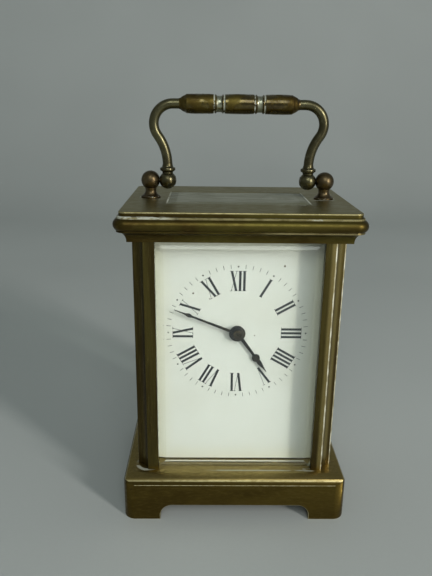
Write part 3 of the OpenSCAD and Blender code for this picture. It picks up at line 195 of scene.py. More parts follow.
def stripe(tree, cornerDepth, spec):
    # a band across the clock, kept to crevices or to another band where the spec says so
    inside = band(tree, spec["axis"], spec["at"], spec["half"], spec.get("mirrored", False))
    if "least" in spec:
        inside = calc(tree, "MULTIPLY", inside, ramp(tree, cornerDepth, spec["least"] * 0.4, spec["least"]))
    if "within" in spec:
        inside = calc(tree, "MULTIPLY", inside, stripe(tree, cornerDepth, spec["within"]))
    return inside


def caseBrass(name, chalk=(), wear=0.0, seed=0.0, rings=(), streak=(1, 1, 1), tint=None, wearAndPaintedLight=()):
    # chalk and rings: where old polish shows; the banded tones: where worn brass, painted highlights and
    # painted shade lie; all in millimetres
    look = dict(brassLook, **(tint or {}))
    mat, tree, shader = startMaterial(name)
    spot = coords(tree, streak)
    if seed:
        shift = tree.nodes.new("ShaderNodeVectorMath")
        tree.links.new(spot, shift.inputs[0])
        shift.inputs[1].default_value = (seed, seed * 0.7, -seed)
        spot = shift.outputs[0]
    wide = noise(tree, spot, look["patch"], 4, 0.6, 0.4)
    fine = noise(tree, spot, look["mottle"], 4, 0.65)
    dots = noise(tree, spot, look["pit"], 2, 0.5)
    cornerDepth = crevice(tree, 1.2)
    colour = blendColour(tree, ramp(tree, wide, 0.36, 0.64), look["brown"], look["olive"])
    light = calc(tree, "MULTIPLY", ramp(tree, fine, 0.45, 0.75), look["fleck"] + wear)
    colour = blendColour(tree, light, colour, look["bright"])
    if wear:
        colour = blendColour(tree, wear, colour, look["bright"])
    # bands of worn brass, and of painted highlight and painted shade
    for spec in wearAndPaintedLight:
        worn = calc(tree, "MULTIPLY", stripe(tree, cornerDepth, spec), ramp(tree, fine, 0.2, 0.62, spec["even"], 1))
        worn = calc(tree, "MULTIPLY", worn, spec["weight"])
        colour = blendColour(tree, worn, colour, spec.get("tone", look["highlightGold"]))
    pits = ramp(tree, dots, 0.68, 0.78)
    colour = blendColour(tree, calc(tree, "MULTIPLY", pits, 0.7), colour, look["pitTone"])
    # painted shade: the brass darkened toward dark brown deep in corners and creases
    colour = blendColour(tree, calc(tree, "MULTIPLY", cornerDepth, 0.3), colour, look["cornerShadeTone"])
    smooth, dull = (r - wear * 0.1 for r in look["rough"])
    rough = ramp(tree, fine, 0.3, 0.7, dull, smooth)
    if look["dulled"]:
        # glossy patches with duller ones between them
        shiny = ramp(tree, noise(tree, spot, 6, 3, 0.6, 0.3), 0.42, 0.58)
        matt = calc(tree, "MULTIPLY", calc(tree, "SUBTRACT", 1.0, shiny), look["dulled"])
        rough = calc(tree, "ADD", rough, matt)
        shine = calc(tree, "MULTIPLY", shiny, look["coat"])
        setIn(tree, shader, {"Coat Weight": shine, "Coat Roughness": 0.1})
    metal = 1.0
    spread = noise(tree, spot, *look["spread"], 0.6)
    mask = None
    spots = [(stripe(tree, cornerDepth, spec), spec["cover"]) for spec in chalk]
    spots += [(around(tree, *ring[:4]), ring[4]) for ring in rings]
    for inside, cover in spots:
        broken = ramp(tree, spread, 0.62 - cover * 0.3, 0.72 - cover * 0.3)
        inside = calc(tree, "MULTIPLY", inside, broken, True)
        mask = inside if mask is None else calc(tree, "MAXIMUM", mask, inside)
    if mask is not None:
        colour = blendColour(tree, mask, colour, look["polish"])
        rough = calc(tree, "MAXIMUM", rough, calc(tree, "MULTIPLY", mask, look["chalkRough"]))
        metal = calc(tree, "SUBTRACT", 1.0, mask, True)
    setIn(tree, shader, {"Base Color": colour, "Roughness": rough, "Metallic": metal})
    height = calc(tree, "SUBTRACT", fine, calc(tree, "MULTIPLY", pits, 0.8))
    bump(tree, shader, height, look["bump"], look["depth"])
    return mat


# tints of the brass, the places where polish was left or an edge rubbed, and the bands of painted highlight
# and painted shade
coppery = dict(olive=(0.115, 0.084, 0.044), brown=(0.066, 0.044, 0.023), bright=(0.32, 0.25, 0.14),
               rough=(0.28, 0.44))
# the duller tint's gold is a dull painted light for the cornice's top face
duller = dict(rough=(0.34, 0.45), fleck=0.14, bump=0.05, olive=(0.115, 0.092, 0.022),
              highlightGold=(0.265, 0.225, 0.085))
browner = dict(polish=(0.38, 0.38, 0.31), spread=(7, 3, 0.6), olive=(0.128, 0.088, 0.019),
               brown=(0.088, 0.058, 0.013), fleck=0.16, rough=(0.30, 0.54), mottle=0.8, bump=0.45)
drawn = dict(olive=(0.12, 0.094, 0.028), brown=(0.066, 0.046, 0.017), fleck=0.16, patch=9)
greyer = dict(bright=(0.34, 0.31, 0.19), olive=(0.13, 0.118, 0.062), brown=(0.078, 0.066, 0.034))
glossy = dict(dulled=0.3, rough=(0.16, 0.26), coat=0.6)
rightEnd = dict(axis=0, at=30, half=28)
leftStep = dict(axis=0, at=-35, half=15)
baseTop = dict(axis=2, at=18.9, half=0.4)
joint = dict(axis=0, at=10, half=25, within=baseTop)
rightFoot = dict(axis=0, at=28.4, half=2.6, within=baseTop)
corniceTop = dict(axis=2, at=119, half=1)
lidEnds = dict(axis=1, at=0, half=17, within=corniceTop)
lidFront = dict(axis=0, at=20, half=8, within=corniceTop)
atFinials = dict(axis=0, at=32, half=5.5, mirrored=True)
caseMats = dict(
    base=caseBrass(
        "baseBrass", [dict(axis=1, at=-28.4, half=0.4, cover=0.95, within=joint),
                      dict(axis=1, at=-27.9, half=1.3, cover=1.0, within=rightFoot)],
        rings=[(33.4, -23.9, 3.6, 5.2, 0.5)], streak=(0.3, 1, 1), tint=browner,
        # painted light on the slope: a highlight band at its top, painted shade low down, and a pale painted
        # highlight line across it
        wearAndPaintedLight=[dict(axis=2, at=17.9, half=1.5, even=0.75, weight=0.5),
                dict(axis=2, at=15.95, half=0.6, even=1, weight=0.6, tone=(0.06, 0.043, 0.012)),
                dict(axis=2, at=16.75, half=0.32, even=0.0, weight=0.9, tone=paleHighlightGold)]),
    post=caseBrass("postBrass", seed=0.31, streak=(2.2, 2.2, 0.16), tint=drawn,
                   # painted highlight: a gold band along the right posts' cove and arris
                   wearAndPaintedLight=[dict(axis=0, at=33.6, half=2.6, even=0.6, weight=0.75)]),
    cornice=caseBrass(
        "corniceBrass", [dict(axis=2, at=117.1, half=0.42, cover=0.14),
                         dict(axis=2, at=117.1, half=0.5, cover=0.6, within=leftStep),
                         dict(axis=1, at=-4.0, half=0.34, cover=0.75, within=atFinials),
                         dict(axis=0, at=25.85, half=0.45, cover=1.0, within=lidEnds),
                         dict(axis=0, at=-25.85, half=0.4, cover=0.6, within=lidEnds),
                         dict(axis=1, at=-14.5, half=0.35, cover=0.6, within=lidFront)],
        seed=0.12, rings=[(32.6, 0, 3.66, 4.5, 0.25)], streak=(0.4, 1, 1), tint=duller,
        # painted light: the top face lighter where it faces up, and pale painted highlight lines along the
        # top edge, the step and, at the right, under the torus
        wearAndPaintedLight=[dict(axis=2, at=119.1, half=0.6, even=0.85, weight=0.85),
                dict(axis=2, at=118.7, half=0.27, even=0.15, weight=0.85, tone=paleHighlightGold),
                dict(axis=2, at=117.0, half=0.45, even=0.2, weight=0.85, tone=paleHighlightGold),
                dict(axis=2, at=112.35, half=0.25, even=0.1, weight=0.7, tone=paleHighlightGold, within=rightEnd)]),
    finial=caseBrass("finialBrass", [dict(axis=2, at=119.3, half=0.6, cover=0.4)], seed=0.23, tint=coppery),
    arm=caseBrass("armBrass", [dict(axis=2, at=129.5, half=0.7, least=0.5, cover=0.3)], 0.02, 0.44,
                  tint=greyer),
    grip=caseBrass(
        "gripBrass", [dict(axis=0, at=x, half=0.34, mirrored=True, cover=0.72) for x in (5.5, 9.1)],
        seed=0.52, tint=glossy, wearAndPaintedLight=[dict(axis=0, at=7.3, half=1.1, mirrored=True, even=0.6, weight=0.9,
                                             tone=(0.42, 0.43, 0.32))]),
    door=caseBrass("doorBrass", wear=0.06, seed=0.66),
)


def edgeWearAndHighlight(name, dull, pale, polish):
    # arrises worn bright, with a little pale polish left on them; made pale and cream, as on the right front
    # post, it is also a painted highlight
    mat, tree, shader = startMaterial(name)
    fine = noise(tree, coords(tree, (1, 1, 0.3)), 1.2, 3, 0.6)
    colour = blendColour(tree, ramp(tree, fine, 0.35, 0.65), dull, pale)
    setIn(tree, shader, {"Base Color": colour, "Roughness": ramp(tree, fine, 0.3, 0.7, 0.3, 0.5),
                         "Metallic": ramp(tree, fine, 0.4, 0.65, 0.95, 1 - polish)})
    return mat


caseMats["edge"] = edgeWearAndHighlight("rubbedBrass", (0.36, 0.30, 0.14), (0.58, 0.52, 0.32), 0.2)
# the right front post's arrises: pale polish and a painted highlight, cream and mostly not metal
caseMats["polishAndHighlightEdge"] = edgeWearAndHighlight("polishedArrisHighlight", (0.66, 0.56, 0.32), (0.86, 0.82, 0.66), 0.6)
print("case brass mixed")


# the other finishes
def movementBrass(name, colour, brush=(1, 1, 1), rough=(0.2, 0.34)):
    mat, tree, shader = startMaterial(name)
    grain = noise(tree, coords(tree, brush), 0.35, 3, 0.6)
    cloud = noise(tree, coords(tree), 9, 3, 0.5)
    dull = tuple(c * 0.72 for c in colour)
    tone = blendColour(tree, ramp(tree, cloud, 0.4, 0.68), colour, dull)
    # painted shade: the movement brass darkened toward dark brown in corners
    tone = blendColour(tree, calc(tree, "MULTIPLY", crevice(tree, 0.8), 0.5), tone, (0.09, 0.055, 0.02))
    setIn(tree, shader, {"Base Color": tone, "Metallic": 1.0,
                         "Roughness": ramp(tree, grain, 0.3, 0.7, rough[0], rough[1])})
    bump(tree, shader, grain, 0.12, 0.02)
    return mat


def polishedSteel(name, colour, rough=(0.16, 0.3), tint=None):
    mat, tree, shader = startMaterial(name)
    grain = noise(tree, coords(tree, (1, 6, 1)), 0.4, 3, 0.6)
    cloud = noise(tree, coords(tree), 3.5, 3, 0.6)
    tone = blendColour(tree, ramp(tree, cloud, 0.42, 0.66), colour, tint or tuple(c * 0.75 for c in colour))
    setIn(tree, shader, {"Base Color": tone, "Metallic": 1.0,
                         "Roughness": ramp(tree, grain, 0.3, 0.7, rough[0], rough[1])})
    bump(tree, shader, grain, 0.08, 0.02)
    return mat


dustTone = (0.145, 0.142, 0.082)


def clearGlass(name, tint, haze=0.05, dust=0.0):
    mat, tree, shader = startMaterial(name)
    setIn(tree, shader, {"Base Color": (*tint, 1), "IOR": 1.5, "Transmission Weight": 1.0})
    if dust:
        # a film of dust, with wiped streaks, that hides more the lower it is seen
        wiped = noise(tree, coords(tree, (0.35, 1, 1)), 5, 5, 0.65, 0.8)
        clear = ramp(tree, wiped, 0.3, 0.7, 1 - dust * 1.12, 1 - dust * 0.85)
        weight = tree.nodes.new("ShaderNodeLayerWeight")
        weight.inputs[0].default_value = 0.5
        slant = weight.outputs["Facing"]
        seen = ramp(tree, slant, 0.2, 0.55, 0.12, 1)
        film = calc(tree, "MULTIPLY", calc(tree, "SUBTRACT", 1.0, clear), seen)
        clear = calc(tree, "SUBTRACT", 1.0, film, True)
        setIn(tree, shader, {"Base Color": blendColour(tree, clear, dustTone, tint),
                             "Transmission Weight": clear,
                             "Roughness": ramp(tree, slant, 0.2, 0.55, 0.04, haze)})
    else:
        smear = noise(tree, coords(tree), 14, 4, 0.6, 0.5)
        setIn(tree, shader, {"Roughness": ramp(tree, smear, 0.45, 0.8, haze * 0.2, haze)})
    out = tree.nodes["Material Output"]
    ray = tree.nodes.new("ShaderNodeLightPath")
    through = tree.nodes.new("ShaderNodeBsdfTransparent")
    through.inputs[0].default_value = (*(c * 0.96 for c in tint), 1)
    mix = tree.nodes.new("ShaderNodeMixShader")
    tree.links.new(ray.outputs["Is Shadow Ray"], mix.inputs[0])
    tree.links.new(shader.outputs[0], mix.inputs[1])
    tree.links.new(through.outputs[0], mix.inputs[2])
    tree.links.new(mix.outputs[0], out.inputs[0])
    return mat


def groundRim(name):
    # the sawn rim of a pane, frosted and a little green
    mat, tree, shader = startMaterial(name)
    grain = noise(tree, coords(tree), 0.5, 3, 0.6)
    colour = blendColour(tree, ramp(tree, grain, 0.35, 0.7), (0.72, 0.76, 0.71), (0.62, 0.67, 0.61))
    setIn(tree, shader, {"Base Color": colour, "Roughness": ramp(tree, grain, 0.3, 0.7, 0.5, 0.7)})
    return mat


enamel = dict(light=(0.71, 0.70, 0.665), cloudy=(0.68, 0.665, 0.62), margin=(0.64, 0.61, 0.50),
              speck=(0.3, 0.28, 0.2), middle=63.6, sideways=(22, 30), upright=(37, 44.5))


def enamelWhite(name):
    # greenish ivory, warmer toward the edges, with a few fine specks
    e = enamel
    mat, tree, shader = startMaterial(name)
    cloud = noise(tree, coords(tree), 24, 3, 0.5)
    dust = noise(tree, coords(tree), 0.7, 2, 0.5)
    colour = blendColour(tree, ramp(tree, cloud, 0.35, 0.7), e["light"], e["cloudy"])
    x = calc(tree, "ABSOLUTE", axisValue(tree, 0))
    up = calc(tree, "ABSOLUTE", calc(tree, "SUBTRACT", axisValue(tree, 2), e["middle"] * mm))
    margin = calc(tree, "MAXIMUM", *(ramp(tree, away, low * mm, high * mm)
                                     for away, (low, high) in ((x, e["sideways"]), (up, e["upright"]))))
    colour = blendColour(tree, calc(tree, "MULTIPLY", margin, 0.5), colour, e["margin"])
    specks = calc(tree, "MULTIPLY", ramp(tree, dust, 0.76, 0.82), 0.5)
    colour = blendColour(tree, specks, colour, e["speck"])
    setIn(tree, shader, {"Base Color": colour, "Roughness": 0.32, "Coat Weight": 0.3, "Coat Roughness": 0.1})
    bump(tree, shader, noise(tree, coords(tree), 6, 2, 0.4), 0.05, 0.03)
    return mat


def inkPaint(name, colour, fade):
    mat, tree, shader = startMaterial(name)
    worn = noise(tree, coords(tree), 0.9, 3, 0.6)
    setIn(tree, shader, {"Base Color": blendColour(tree, ramp(tree, worn, 0.5, 0.8), colour, fade),
                         "Roughness": 0.42})
    return mat


plateMat = movementBrass("plateBrass", (0.62, 0.46, 0.20), (1, 1, 14))
wheelMat = movementBrass("wheelBrass", (0.68, 0.50, 0.22), (1, 1, 1), (0.16, 0.3))
platformMat = movementBrass("platformBrass", (0.70, 0.55, 0.27), (12, 1, 1), (0.14, 0.26))
steelMat = polishedSteel("arborSteel", (0.56, 0.56, 0.55))
springMat = polishedSteel("springSteel", (0.30, 0.31, 0.34), (0.22, 0.36))
blueMat = polishedSteel("blueScrews", (0.035, 0.06, 0.20), (0.18, 0.3), (0.05, 0.05, 0.11))
handMat = polishedSteel("handSteel", (0.045, 0.046, 0.05), (0.28, 0.42), (0.10, 0.085, 0.065))
darkMat = polishedSteel("agedSteel", (0.075, 0.066, 0.05), (0.4, 0.55))
nutMat = polishedSteel("brownedNut", (0.13, 0.10, 0.065), (0.36, 0.5), (0.05, 0.042, 0.032))
glassMat = clearGlass("bevelledGlass", (0.93, 0.96, 0.94))
rimMat = groundRim("groundRim")
bevelMat = clearGlass("groundBevel", (0.88, 0.90, 0.81), 0.12, 0.08)
lidMat = clearGlass("dustyLidGlass", (0.86, 0.88, 0.80), 0.4, 0.9)
lidBevelMat = clearGlass("dustyLidBevel", (0.86, 0.88, 0.80), 0.4, 1.0)
dialMat = enamelWhite("dialEnamel")
inkMat = inkPaint("numeralInk", (0.016, 0.019, 0.026), (0.05, 0.055, 0.065))
trackMat = inkPaint("trackInk", (0.12, 0.125, 0.115), (0.34, 0.35, 0.31))
speckMat = inkPaint("dialSpecks", (0.11, 0.085, 0.05), (0.3, 0.27, 0.2))
print("other finishes mixed")


# which finish each CAD piece gets, where it isn't plain steel
finishes = {
    "base": caseMats["base"], "cornice": caseMats["cornice"],
    "post_front_left": caseMats["post"], "post_front_right": caseMats["post"],
    "post_rear_left": caseMats["post"], "post_rear_right": caseMats["post"],
    "finial_left": caseMats["finial"], "finial_right": caseMats["finial"],
    "handle_arm_left": caseMats["arm"], "handle_arm_right": caseMats["arm"],
    "handle_grip": caseMats["grip"], "door_frame": caseMats["door"], "door_knob": caseMats["door"],
    "front_glass": glassMat, "left_glass": glassMat, "right_glass": glassMat,
    "top_glass": glassMat, "door_glass": glassMat, "dial": dialMat,
    "front_plate": plateMat, "back_plate": plateMat, "pillars": wheelMat,
    "barrel": plateMat, "barrel_cover": plateMat,
    "intermediate_wheel": wheelMat, "centre_wheel": wheelMat, "third_wheel": wheelMat,
    "contrate_wheel": wheelMat, "minute_wheel": wheelMat, "hour_wheel": wheelMat,
    "escape_wheel": wheelMat, "balance": wheelMat, "platform": platformMat,
    "escape_bridge": platformMat, "balance_cock": platformMat,
    "mainspring": springMat, "hairspring": blueMat, "click_spring": springMat,
    "platform_screws": blueMat, "plate_screws": blueMat, "click_screws": blueMat,
    "movement_screws": blueMat, "handle_pivots": darkMat, "centre_arbor": darkMat,
    "minute_hand": handMat, "hour_hand": handMat, "hand_nut": nutMat,
}


def finishNodes():
    for name, obj in nodes.items():
        mat = finishes.get(name, steelMat)
        obj.data.materials.clear()
        obj.data.materials.append(mat)


finishNodes()
print("CAD pieces finished")


# mesh helpers
def arc(x, z, r, start, end, steps):
    # points of an arc in a profile, angles in degrees from the first axis
    return [(x + r * cos(radians(start + (end - start) * i / steps)),
             z + r * sin(radians(start + (end - start) * i / steps))) for i in range(steps + 1)]


merge = 2e-6  # points nearer than this, in metres, are one


def vertsOf(geom):
    return [g for g in geom if isinstance(g, bmesh.types.BMVert)]


def edgesOf(geom):
    return [g for g in geom if isinstance(g, bmesh.types.BMEdge)]


def everything(bm):
    return bm.verts[:] + bm.edges[:] + bm.faces[:]


def openEdges(bm):
    return [e for e in bm.edges if e.is_boundary]


def chain(bm, points):
    verts = [bm.verts.new(Vector(p) * mm) for p in points]
    edges = [bm.edges.new(pair) for pair in zip(verts, verts[1:])]
    return verts + edges


def spin(bm, geom, centre, axis, angle, steps):
    last = bmesh.ops.spin(bm, geom=geom, cent=Vector(centre) * mm, axis=axis,
                          angle=radians(angle), steps=steps, use_merge=False)["geom_last"]
    return vertsOf(last) + edgesOf(last)


def carry(bm, geom, move):
    # the edges drawn out along a straight, and what stands at its end
    made = bmesh.ops.extrude_edge_only(bm, edges=edgesOf(geom))["geom"]
    verts = vertsOf(made)
    bmesh.ops.translate(bm, verts=verts, vec=Vector(move) * mm)
    return verts + [e for e in edgesOf(made) if all(v in verts for v in e.verts)]


def thicken(bm, faces, depth):
    # flat faces given a thickness backward into the clock
    made = bmesh.ops.extrude_face_region(bm, geom=faces)["geom"]
    bmesh.ops.translate(bm, verts=vertsOf(made), vec=(0, depth * mm, 0))


def roundOff(bm, edges, width, steps=2, clamp=True):
    return bmesh.ops.bevel(bm, geom=edges, offset=width * mm, segments=steps, profile=0.5, affect="EDGES",
                           clamp_overlap=clamp, material=-1)["faces"]


def cutFlat(bm, x, clear=False):
    # a cut across the clock at x, which can take off what lies beyond it
    return bmesh.ops.bisect_plane(bm, geom=everything(bm), dist=1e-7, plane_co=(x * mm, 0, 0),
                                  plane_no=(1, 0, 0), clear_outer=clear)["geom_cut"]


def turned(bm, profile, foot, along, steps=48):
    # profile of (radius, height) turned about the line through its foot along a direction
    along = Vector(along)
    out = Vector((0, 0, 1)) if abs(along.z) < 0.5 else Vector((1, 0, 0))
    points = [Vector(foot) + out * r + along * h for r, h in profile]
    geom = chain(bm, points)
    bmesh.ops.spin(bm, geom=geom, cent=Vector(foot) * mm, axis=along,
                   angle=2 * pi, steps=steps, use_merge=True)


def makePiece(bm, name, mats, body, replaces=(), sharp=32, weighted=True):
    # the mesh closed up and made an object that moves with its body, in place of the CAD nodes it stands for
    bmesh.ops.remove_doubles(bm, verts=bm.verts, dist=merge)
    bmesh.ops.recalc_face_normals(bm, faces=bm.faces)
    mesh = bpy.data.meshes.new(name)
    bm.to_mesh(mesh)
    bm.free()
    mesh.shade_smooth()
    mesh.set_sharp_from_angle(angle=radians(sharp))
    for mat in mats:
        mesh.materials.append(mat)
    obj = bpy.data.objects.new(name, mesh)
    scene.collection.objects.link(obj)
    if weighted:
        obj.modifiers.new("normals", "WEIGHTED_NORMAL").keep_sharp = True
    if body:
        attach(obj, body)
    if replaces:
        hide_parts(*replaces)
    return obj


def copiedShape(name):
    bm = bmesh.new()
    bm.from_mesh(nodes[name].data)
    bmesh.ops.remove_doubles(bm, verts=bm.verts, dist=1e-6)
    bmesh.ops.dissolve_limit(bm, angle_limit=radians(0.5), verts=bm.verts, edges=bm.edges)
    return bm


def softenEdges(bm, chosen, width, steps=3, rubbed=1, least=24):
    # chosen looks at an edge's middle and length in millimetres, and least is in degrees
    edges = [e for e in bm.edges if e.is_manifold and e.calc_face_angle_signed(0) > radians(least)
             and chosen(e, (e.verts[0].co + e.verts[1].co) / 2 / mm, e.calc_length() / mm)]
    for face in roundOff(bm, edges, width, steps, False):
        face.material_index = rubbed
    return len(edges)


# cornice: one moulding carried round four turned corners
cornice = dict(low=108.4, top=119, turnX=38.3, turnY=28.8, seat=(25.6, 14.3), seatZ=116.4,
               ledge=(23.5, 12.2), ledgeZ=114.4, hollow=(28.3, 18.8))


def buildCornice():
    c = cornice
    z = c["low"]
    # hollow, torus, quirk and step, as distances out from the turning centre
    outline = [(0.2, z), (0.2, z + 0.25)]
    outline += arc(3.6, z + 0.3, 3.4, 178, 92, 9)
    outline += [(3.56, z + 3.76), (3.56, z + 3.9), (3.42, z + 4.02)]
    outline += arc(2.3, z + 6.15, 2.25, -62, 66, 18)
    outline += [(3.12, z + 8.33), (3.16, z + 8.42), (3.16, z + 8.85), (2.98, z + 9.0), (2.62, z + 9.02),
                (2.5, z + 9.14), (2.5, z + 10.3)]
    outline += arc(2.2, z + 10.3, 0.3, 12, 90, 5)
    bm = bmesh.new()
    geom = chain(bm, [(c["turnX"] + r, -c["turnY"], h) for r, h in outline])
    for x, y, move in ((1, 1, (0, 2 * c["turnY"], 0)), (-1, 1, (-2 * c["turnX"], 0, 0)),
                       (-1, -1, (0, -2 * c["turnY"], 0)), (1, -1, (2 * c["turnX"], 0, 0))):
        geom = carry(bm, geom, move)
        geom = spin(bm, geom, (x * c["turnX"], y * c["turnY"], 0), (0, 0, 1), 90, 14)
    bmesh.ops.remove_doubles(bm, verts=bm.verts, dist=merge)
    rims = openEdges(bm)
    middle = (c["low"] + c["top"]) / 2 * mm
    high = [e for e in rims if e.verts[0].co.z > middle]
    low = [e for e in rims if e.verts[0].co.z < middle]

    def ring(half, height):
        loop = bmesh.ops.create_grid(bm, x_segments=1, y_segments=1, size=mm,
                                     matrix=Matrix.Translation((0, 0, height * mm)))["verts"]
        for v in loop:
            v.co.x *= half[0]
            v.co.y *= half[1]
        face = loop[0].link_faces[0]
        edges = list(face.edges)
        bmesh.ops.delete(bm, geom=[face], context="FACES_ONLY")
        return edges

    rings = [ring(c["seat"], c["top"]), ring(c["seat"], c["seatZ"]), ring(c["ledge"], c["seatZ"]),
             ring(c["ledge"], c["ledgeZ"]), ring(c["hollow"], c["ledgeZ"]), ring(c["hollow"], c["low"])]
    for a, b in zip(rings, rings[1:]):
        bmesh.ops.bridge_loops(bm, edges=a + b)
    bmesh.ops.triangle_fill(bm, edges=high + rings[0], use_beauty=True)
    bmesh.ops.triangle_fill(bm, edges=low + rings[-1], use_beauty=True)
    makePiece(bm, "corniceMoulding", [caseMats["cornice"]], "case", ["cornice"], 28)


buildCornice()
print("cornice built")


# base: softened copy with a rubbed crease
base = dict(half=(42.5, 33), corner=4.4, wallTop=15.3, top=18.8, slopeIn=3.5, edge=0.22)


def buildBase():
    b = base
    bm = copiedShape("base")

    def shell(p):
        # distance inside the rounded outline of the walls
        x, y = abs(p.x) - b["half"][0] + b["corner"], abs(p.y) - b["half"][1] + b["corner"]
        if x > 0 and y > 0:
            return b["corner"] - sqrt(x * x + y * y)
        return min(b["half"][0] - abs(p.x), b["half"][1] - abs(p.y))

    def chosen(edge, p, length):
        # the outline of the foot gaps, the crease round the walls and the top of the slope
        if p.z > b["top"] - 0.1:
            inward = -max(abs(p.x) - b["half"][0], abs(p.y) - b["half"][1])
            return length > 0.2 and abs(inward - b["slopeIn"]) < 0.15
        return shell(p) < 0.12 and p.z < b["wallTop"] + 0.1

    count = softenEdges(bm, chosen, b["edge"])
    print("base edges softened:", count)
    makePiece(bm, "basePlinth", [caseMats["base"], caseMats["edge"]], "case", ["base"], 34)


buildBase()


# corner posts: softened copies with bright arrises
post = dict(arris=(33, 23.5), outer=(37.3, 27.8), edge=0.3, worn=0.55, inner=0.16, least=20)


def buildPosts():
    for name in ("post_front_left", "post_front_right", "post_rear_left", "post_rear_right"):
        bm = copiedShape(name)
        wide = post["worn"] if name == "post_front_right" else post["edge"]

        def atCove(e, p, length):
            return length > post["least"] and abs(p.x) > post["arris"][0] and abs(p.y) > post["arris"][1]

        def atSide(e, p, length):
            out = max(abs(p.x) / post["outer"][0], abs(p.y) / post["outer"][1])
            return length > post["least"] and not atCove(e, p, length) and out > 0.98

        arrises = softenEdges(bm, atCove, wide)
        others = softenEdges(bm, atSide, post["inner"], 2, 0)
        print(name, "arrises softened:", arrises, others)
        # the right front post takes the pale edge, which is partly a painted highlight
        arris = dict(post_front_right="polishAndHighlightEdge", post_front_left="post").get(name, "edge")
        makePiece(bm, name.replace("post_", "corner_"), [caseMats["post"], caseMats[arris]], "case",
                  [name], 34)


buildPosts()
print("posts built")


# folding handle: bent arms with a ball, collar and shoulder
handle = dict(ballX=26.2, pivotZ=125.5, ball=3.2, arm=1.8, root=4.5, straight=5.6, widest=31.05, bend=7,
              lower=18.006, lean=36.289, top=152.9, gripEnd=21.8, into=0.4, flat=29.2)


def buildArm(side):
    h = handle
    bm = bmesh.new()
    z0 = h["pivotZ"]
    # ball and collar turned as one, up into the arm
    profile = [(0, -h["ball"])] + arc(0, 0, h["ball"], -84, 52, 22)
    profile += [(1.98, 2.75), (2.0, 3.1), (2.35, 3.45), (2.75, 3.62), (2.86, 3.9), (2.86, 4.3),
                (2.7, 4.62), (2.3, 4.78), (2.05, 5.0), (1.92, 5.5), (h["arm"], 6.2),
                (h["arm"] - 0.5, 6.4), (0, 6.4)]
    turned(bm, profile, (h["ballX"], 0, z0), (0, 0, 1), 48)
    rim = edgesOf(cutFlat(bm, h["flat"], True))
    if rim:
        bmesh.ops.holes_fill(bm, edges=rim)
    # the arm, from the collar up through both bends
    foot = Matrix.Translation(Vector((h["ballX"], 0, z0 + h["root"])) * mm)
    start = bmesh.ops.create_circle(bm, cap_ends=False, segments=28, radius=h["arm"] * mm,
                                    matrix=foot)["verts"]
    geom = start + list({e for v in start for e in v.link_edges})
    geom = carry(bm, geom, (0, 0, h["straight"] - h["root"]))
    geom = spin(bm, geom, (h["ballX"] + h["lower"], 0, z0 + h["straight"]), (0, 1, 0), h["lean"], 12)
    turnX = h["widest"] - h["bend"]
    geom = spin(bm, geom, (turnX, 0, h["top"] - h["bend"]), (0, -1, 0), 90 + h["lean"], 22)
    carry(bm, geom, (h["gripEnd"] - h["into"] - turnX, 0, 0))
    bmesh.ops.holes_fill(bm, edges=openEdges(bm))
    if side < 0:
        bmesh.ops.scale(bm, vec=(-1, 1, 1), verts=bm.verts)
    word = "right" if side > 0 else "left"
    makePiece(bm, "handleArm" + word.capitalize(), [caseMats["arm"]], "handle",
              ["handle_arm_" + word], 40)


def buildGrip():
    h = handle
    half = [(0, 0), (3.5, 0), (3.49, 1.6), (3.46, 3.2), (3.4, 4.8)] + arc(3.2, 5.1, 0.2, 0, 80, 3)
    # quirk, disc, shallow waist, disc, quirk
    half += [(3.02, 5.34), (3.0, 5.66)] + arc(3.1, 5.98, 0.26, -75, 75, 6)
    half += [(3.02, 6.32), (2.9, 6.6), (2.86, 7.3), (2.9, 8.0), (3.02, 8.28)]
    half += arc(3.1, 8.62, 0.26, -75, 75, 6) + [(3.0, 8.94), (3.02, 9.26)] + arc(3.2, 9.5, 0.2, -80, 0, 3)
    half += [(3.4, 9.6), (3.46, 11.4), (3.5, 13.6), (3.49, 15.6), (3.44, 17.6), (3.38, 18.8)]
    half += arc(3.05, 18.95, 0.34, 10, 55, 4)
    half += [(2.75, 20.2), (2.5, 20.7), (2.2, 21.05), (2.0, 21.35), (1.9, 21.8), (0, 21.8)]
    profile = [(r, -z) for r, z in reversed(half[1:])] + half[1:]
    bm = bmesh.new()
    turned(bm, profile, (0, 0, h["top"]), (1, 0, 0), 56)
    makePiece(bm, "handleGripTurned", [caseMats["grip"]], "handle", ["handle_grip"], 30)


buildArm(1)
buildArm(-1)
buildGrip()
print("handle built")


# dial print: numerals, minute track and a few specks, as thin ink
dialPrint = dict(centre=(0, 72.35), front=-19.4, inner=16.25, outer=23.8, bar=0.88, hair=0.12,
                 pitch=1.52, serif=0.15, over=0.3, serifLift=0.026, barLift=0.034, hairLift=0.030,
                 sunk=0.02, trackR=25.4, dot=0.34, dotLift=0.024, dash=(0.1, 0.775), thick=0.04,
                 specks=((16.5, 25.7, 0.4), (-16.2, 15.3, 0.35), (-10.2, 13.2, 0.22), (6.5, -1, 0.24)))


def inkFace(bm, corners, lift):
    # each layer of ink stands a little higher, and all of it goes just into the dial
    verts = [bm.verts.new(Vector((x, dialPrint["front"] - lift, z)) * mm) for x, z in corners]
    thicken(bm, [bm.faces.new(verts)], lift + dialPrint["sunk"])


def letterStrokes(letter):
    # strokes as (x at the foot, x at the top, width, lift), about the middle of the letter,
    # then the serifs at the foot and the top as (x, width), and the letter's width
    d = dialPrint
    bar, hair = (d["bar"], d["barLift"]), (d["hair"] * 1.3, d["hairLift"])
    if letter == "I":
        return [(0, 0, *bar)], [(0, d["bar"])], [(0, d["bar"])], d["pitch"]
    if letter == "V":
        return [(-0.05, -1.0, *bar), (0.1, 1.25, *hair)], [], [(-1.0, d["bar"]), (1.25, 0.35)], 3.1
    return ([(0.85, -0.85, *bar), (-0.95, 0.95, *hair)],
            [(0.85, d["bar"]), (-0.95, 0.35)], [(-0.85, d["bar"]), (0.95, 0.35)], 2.9)


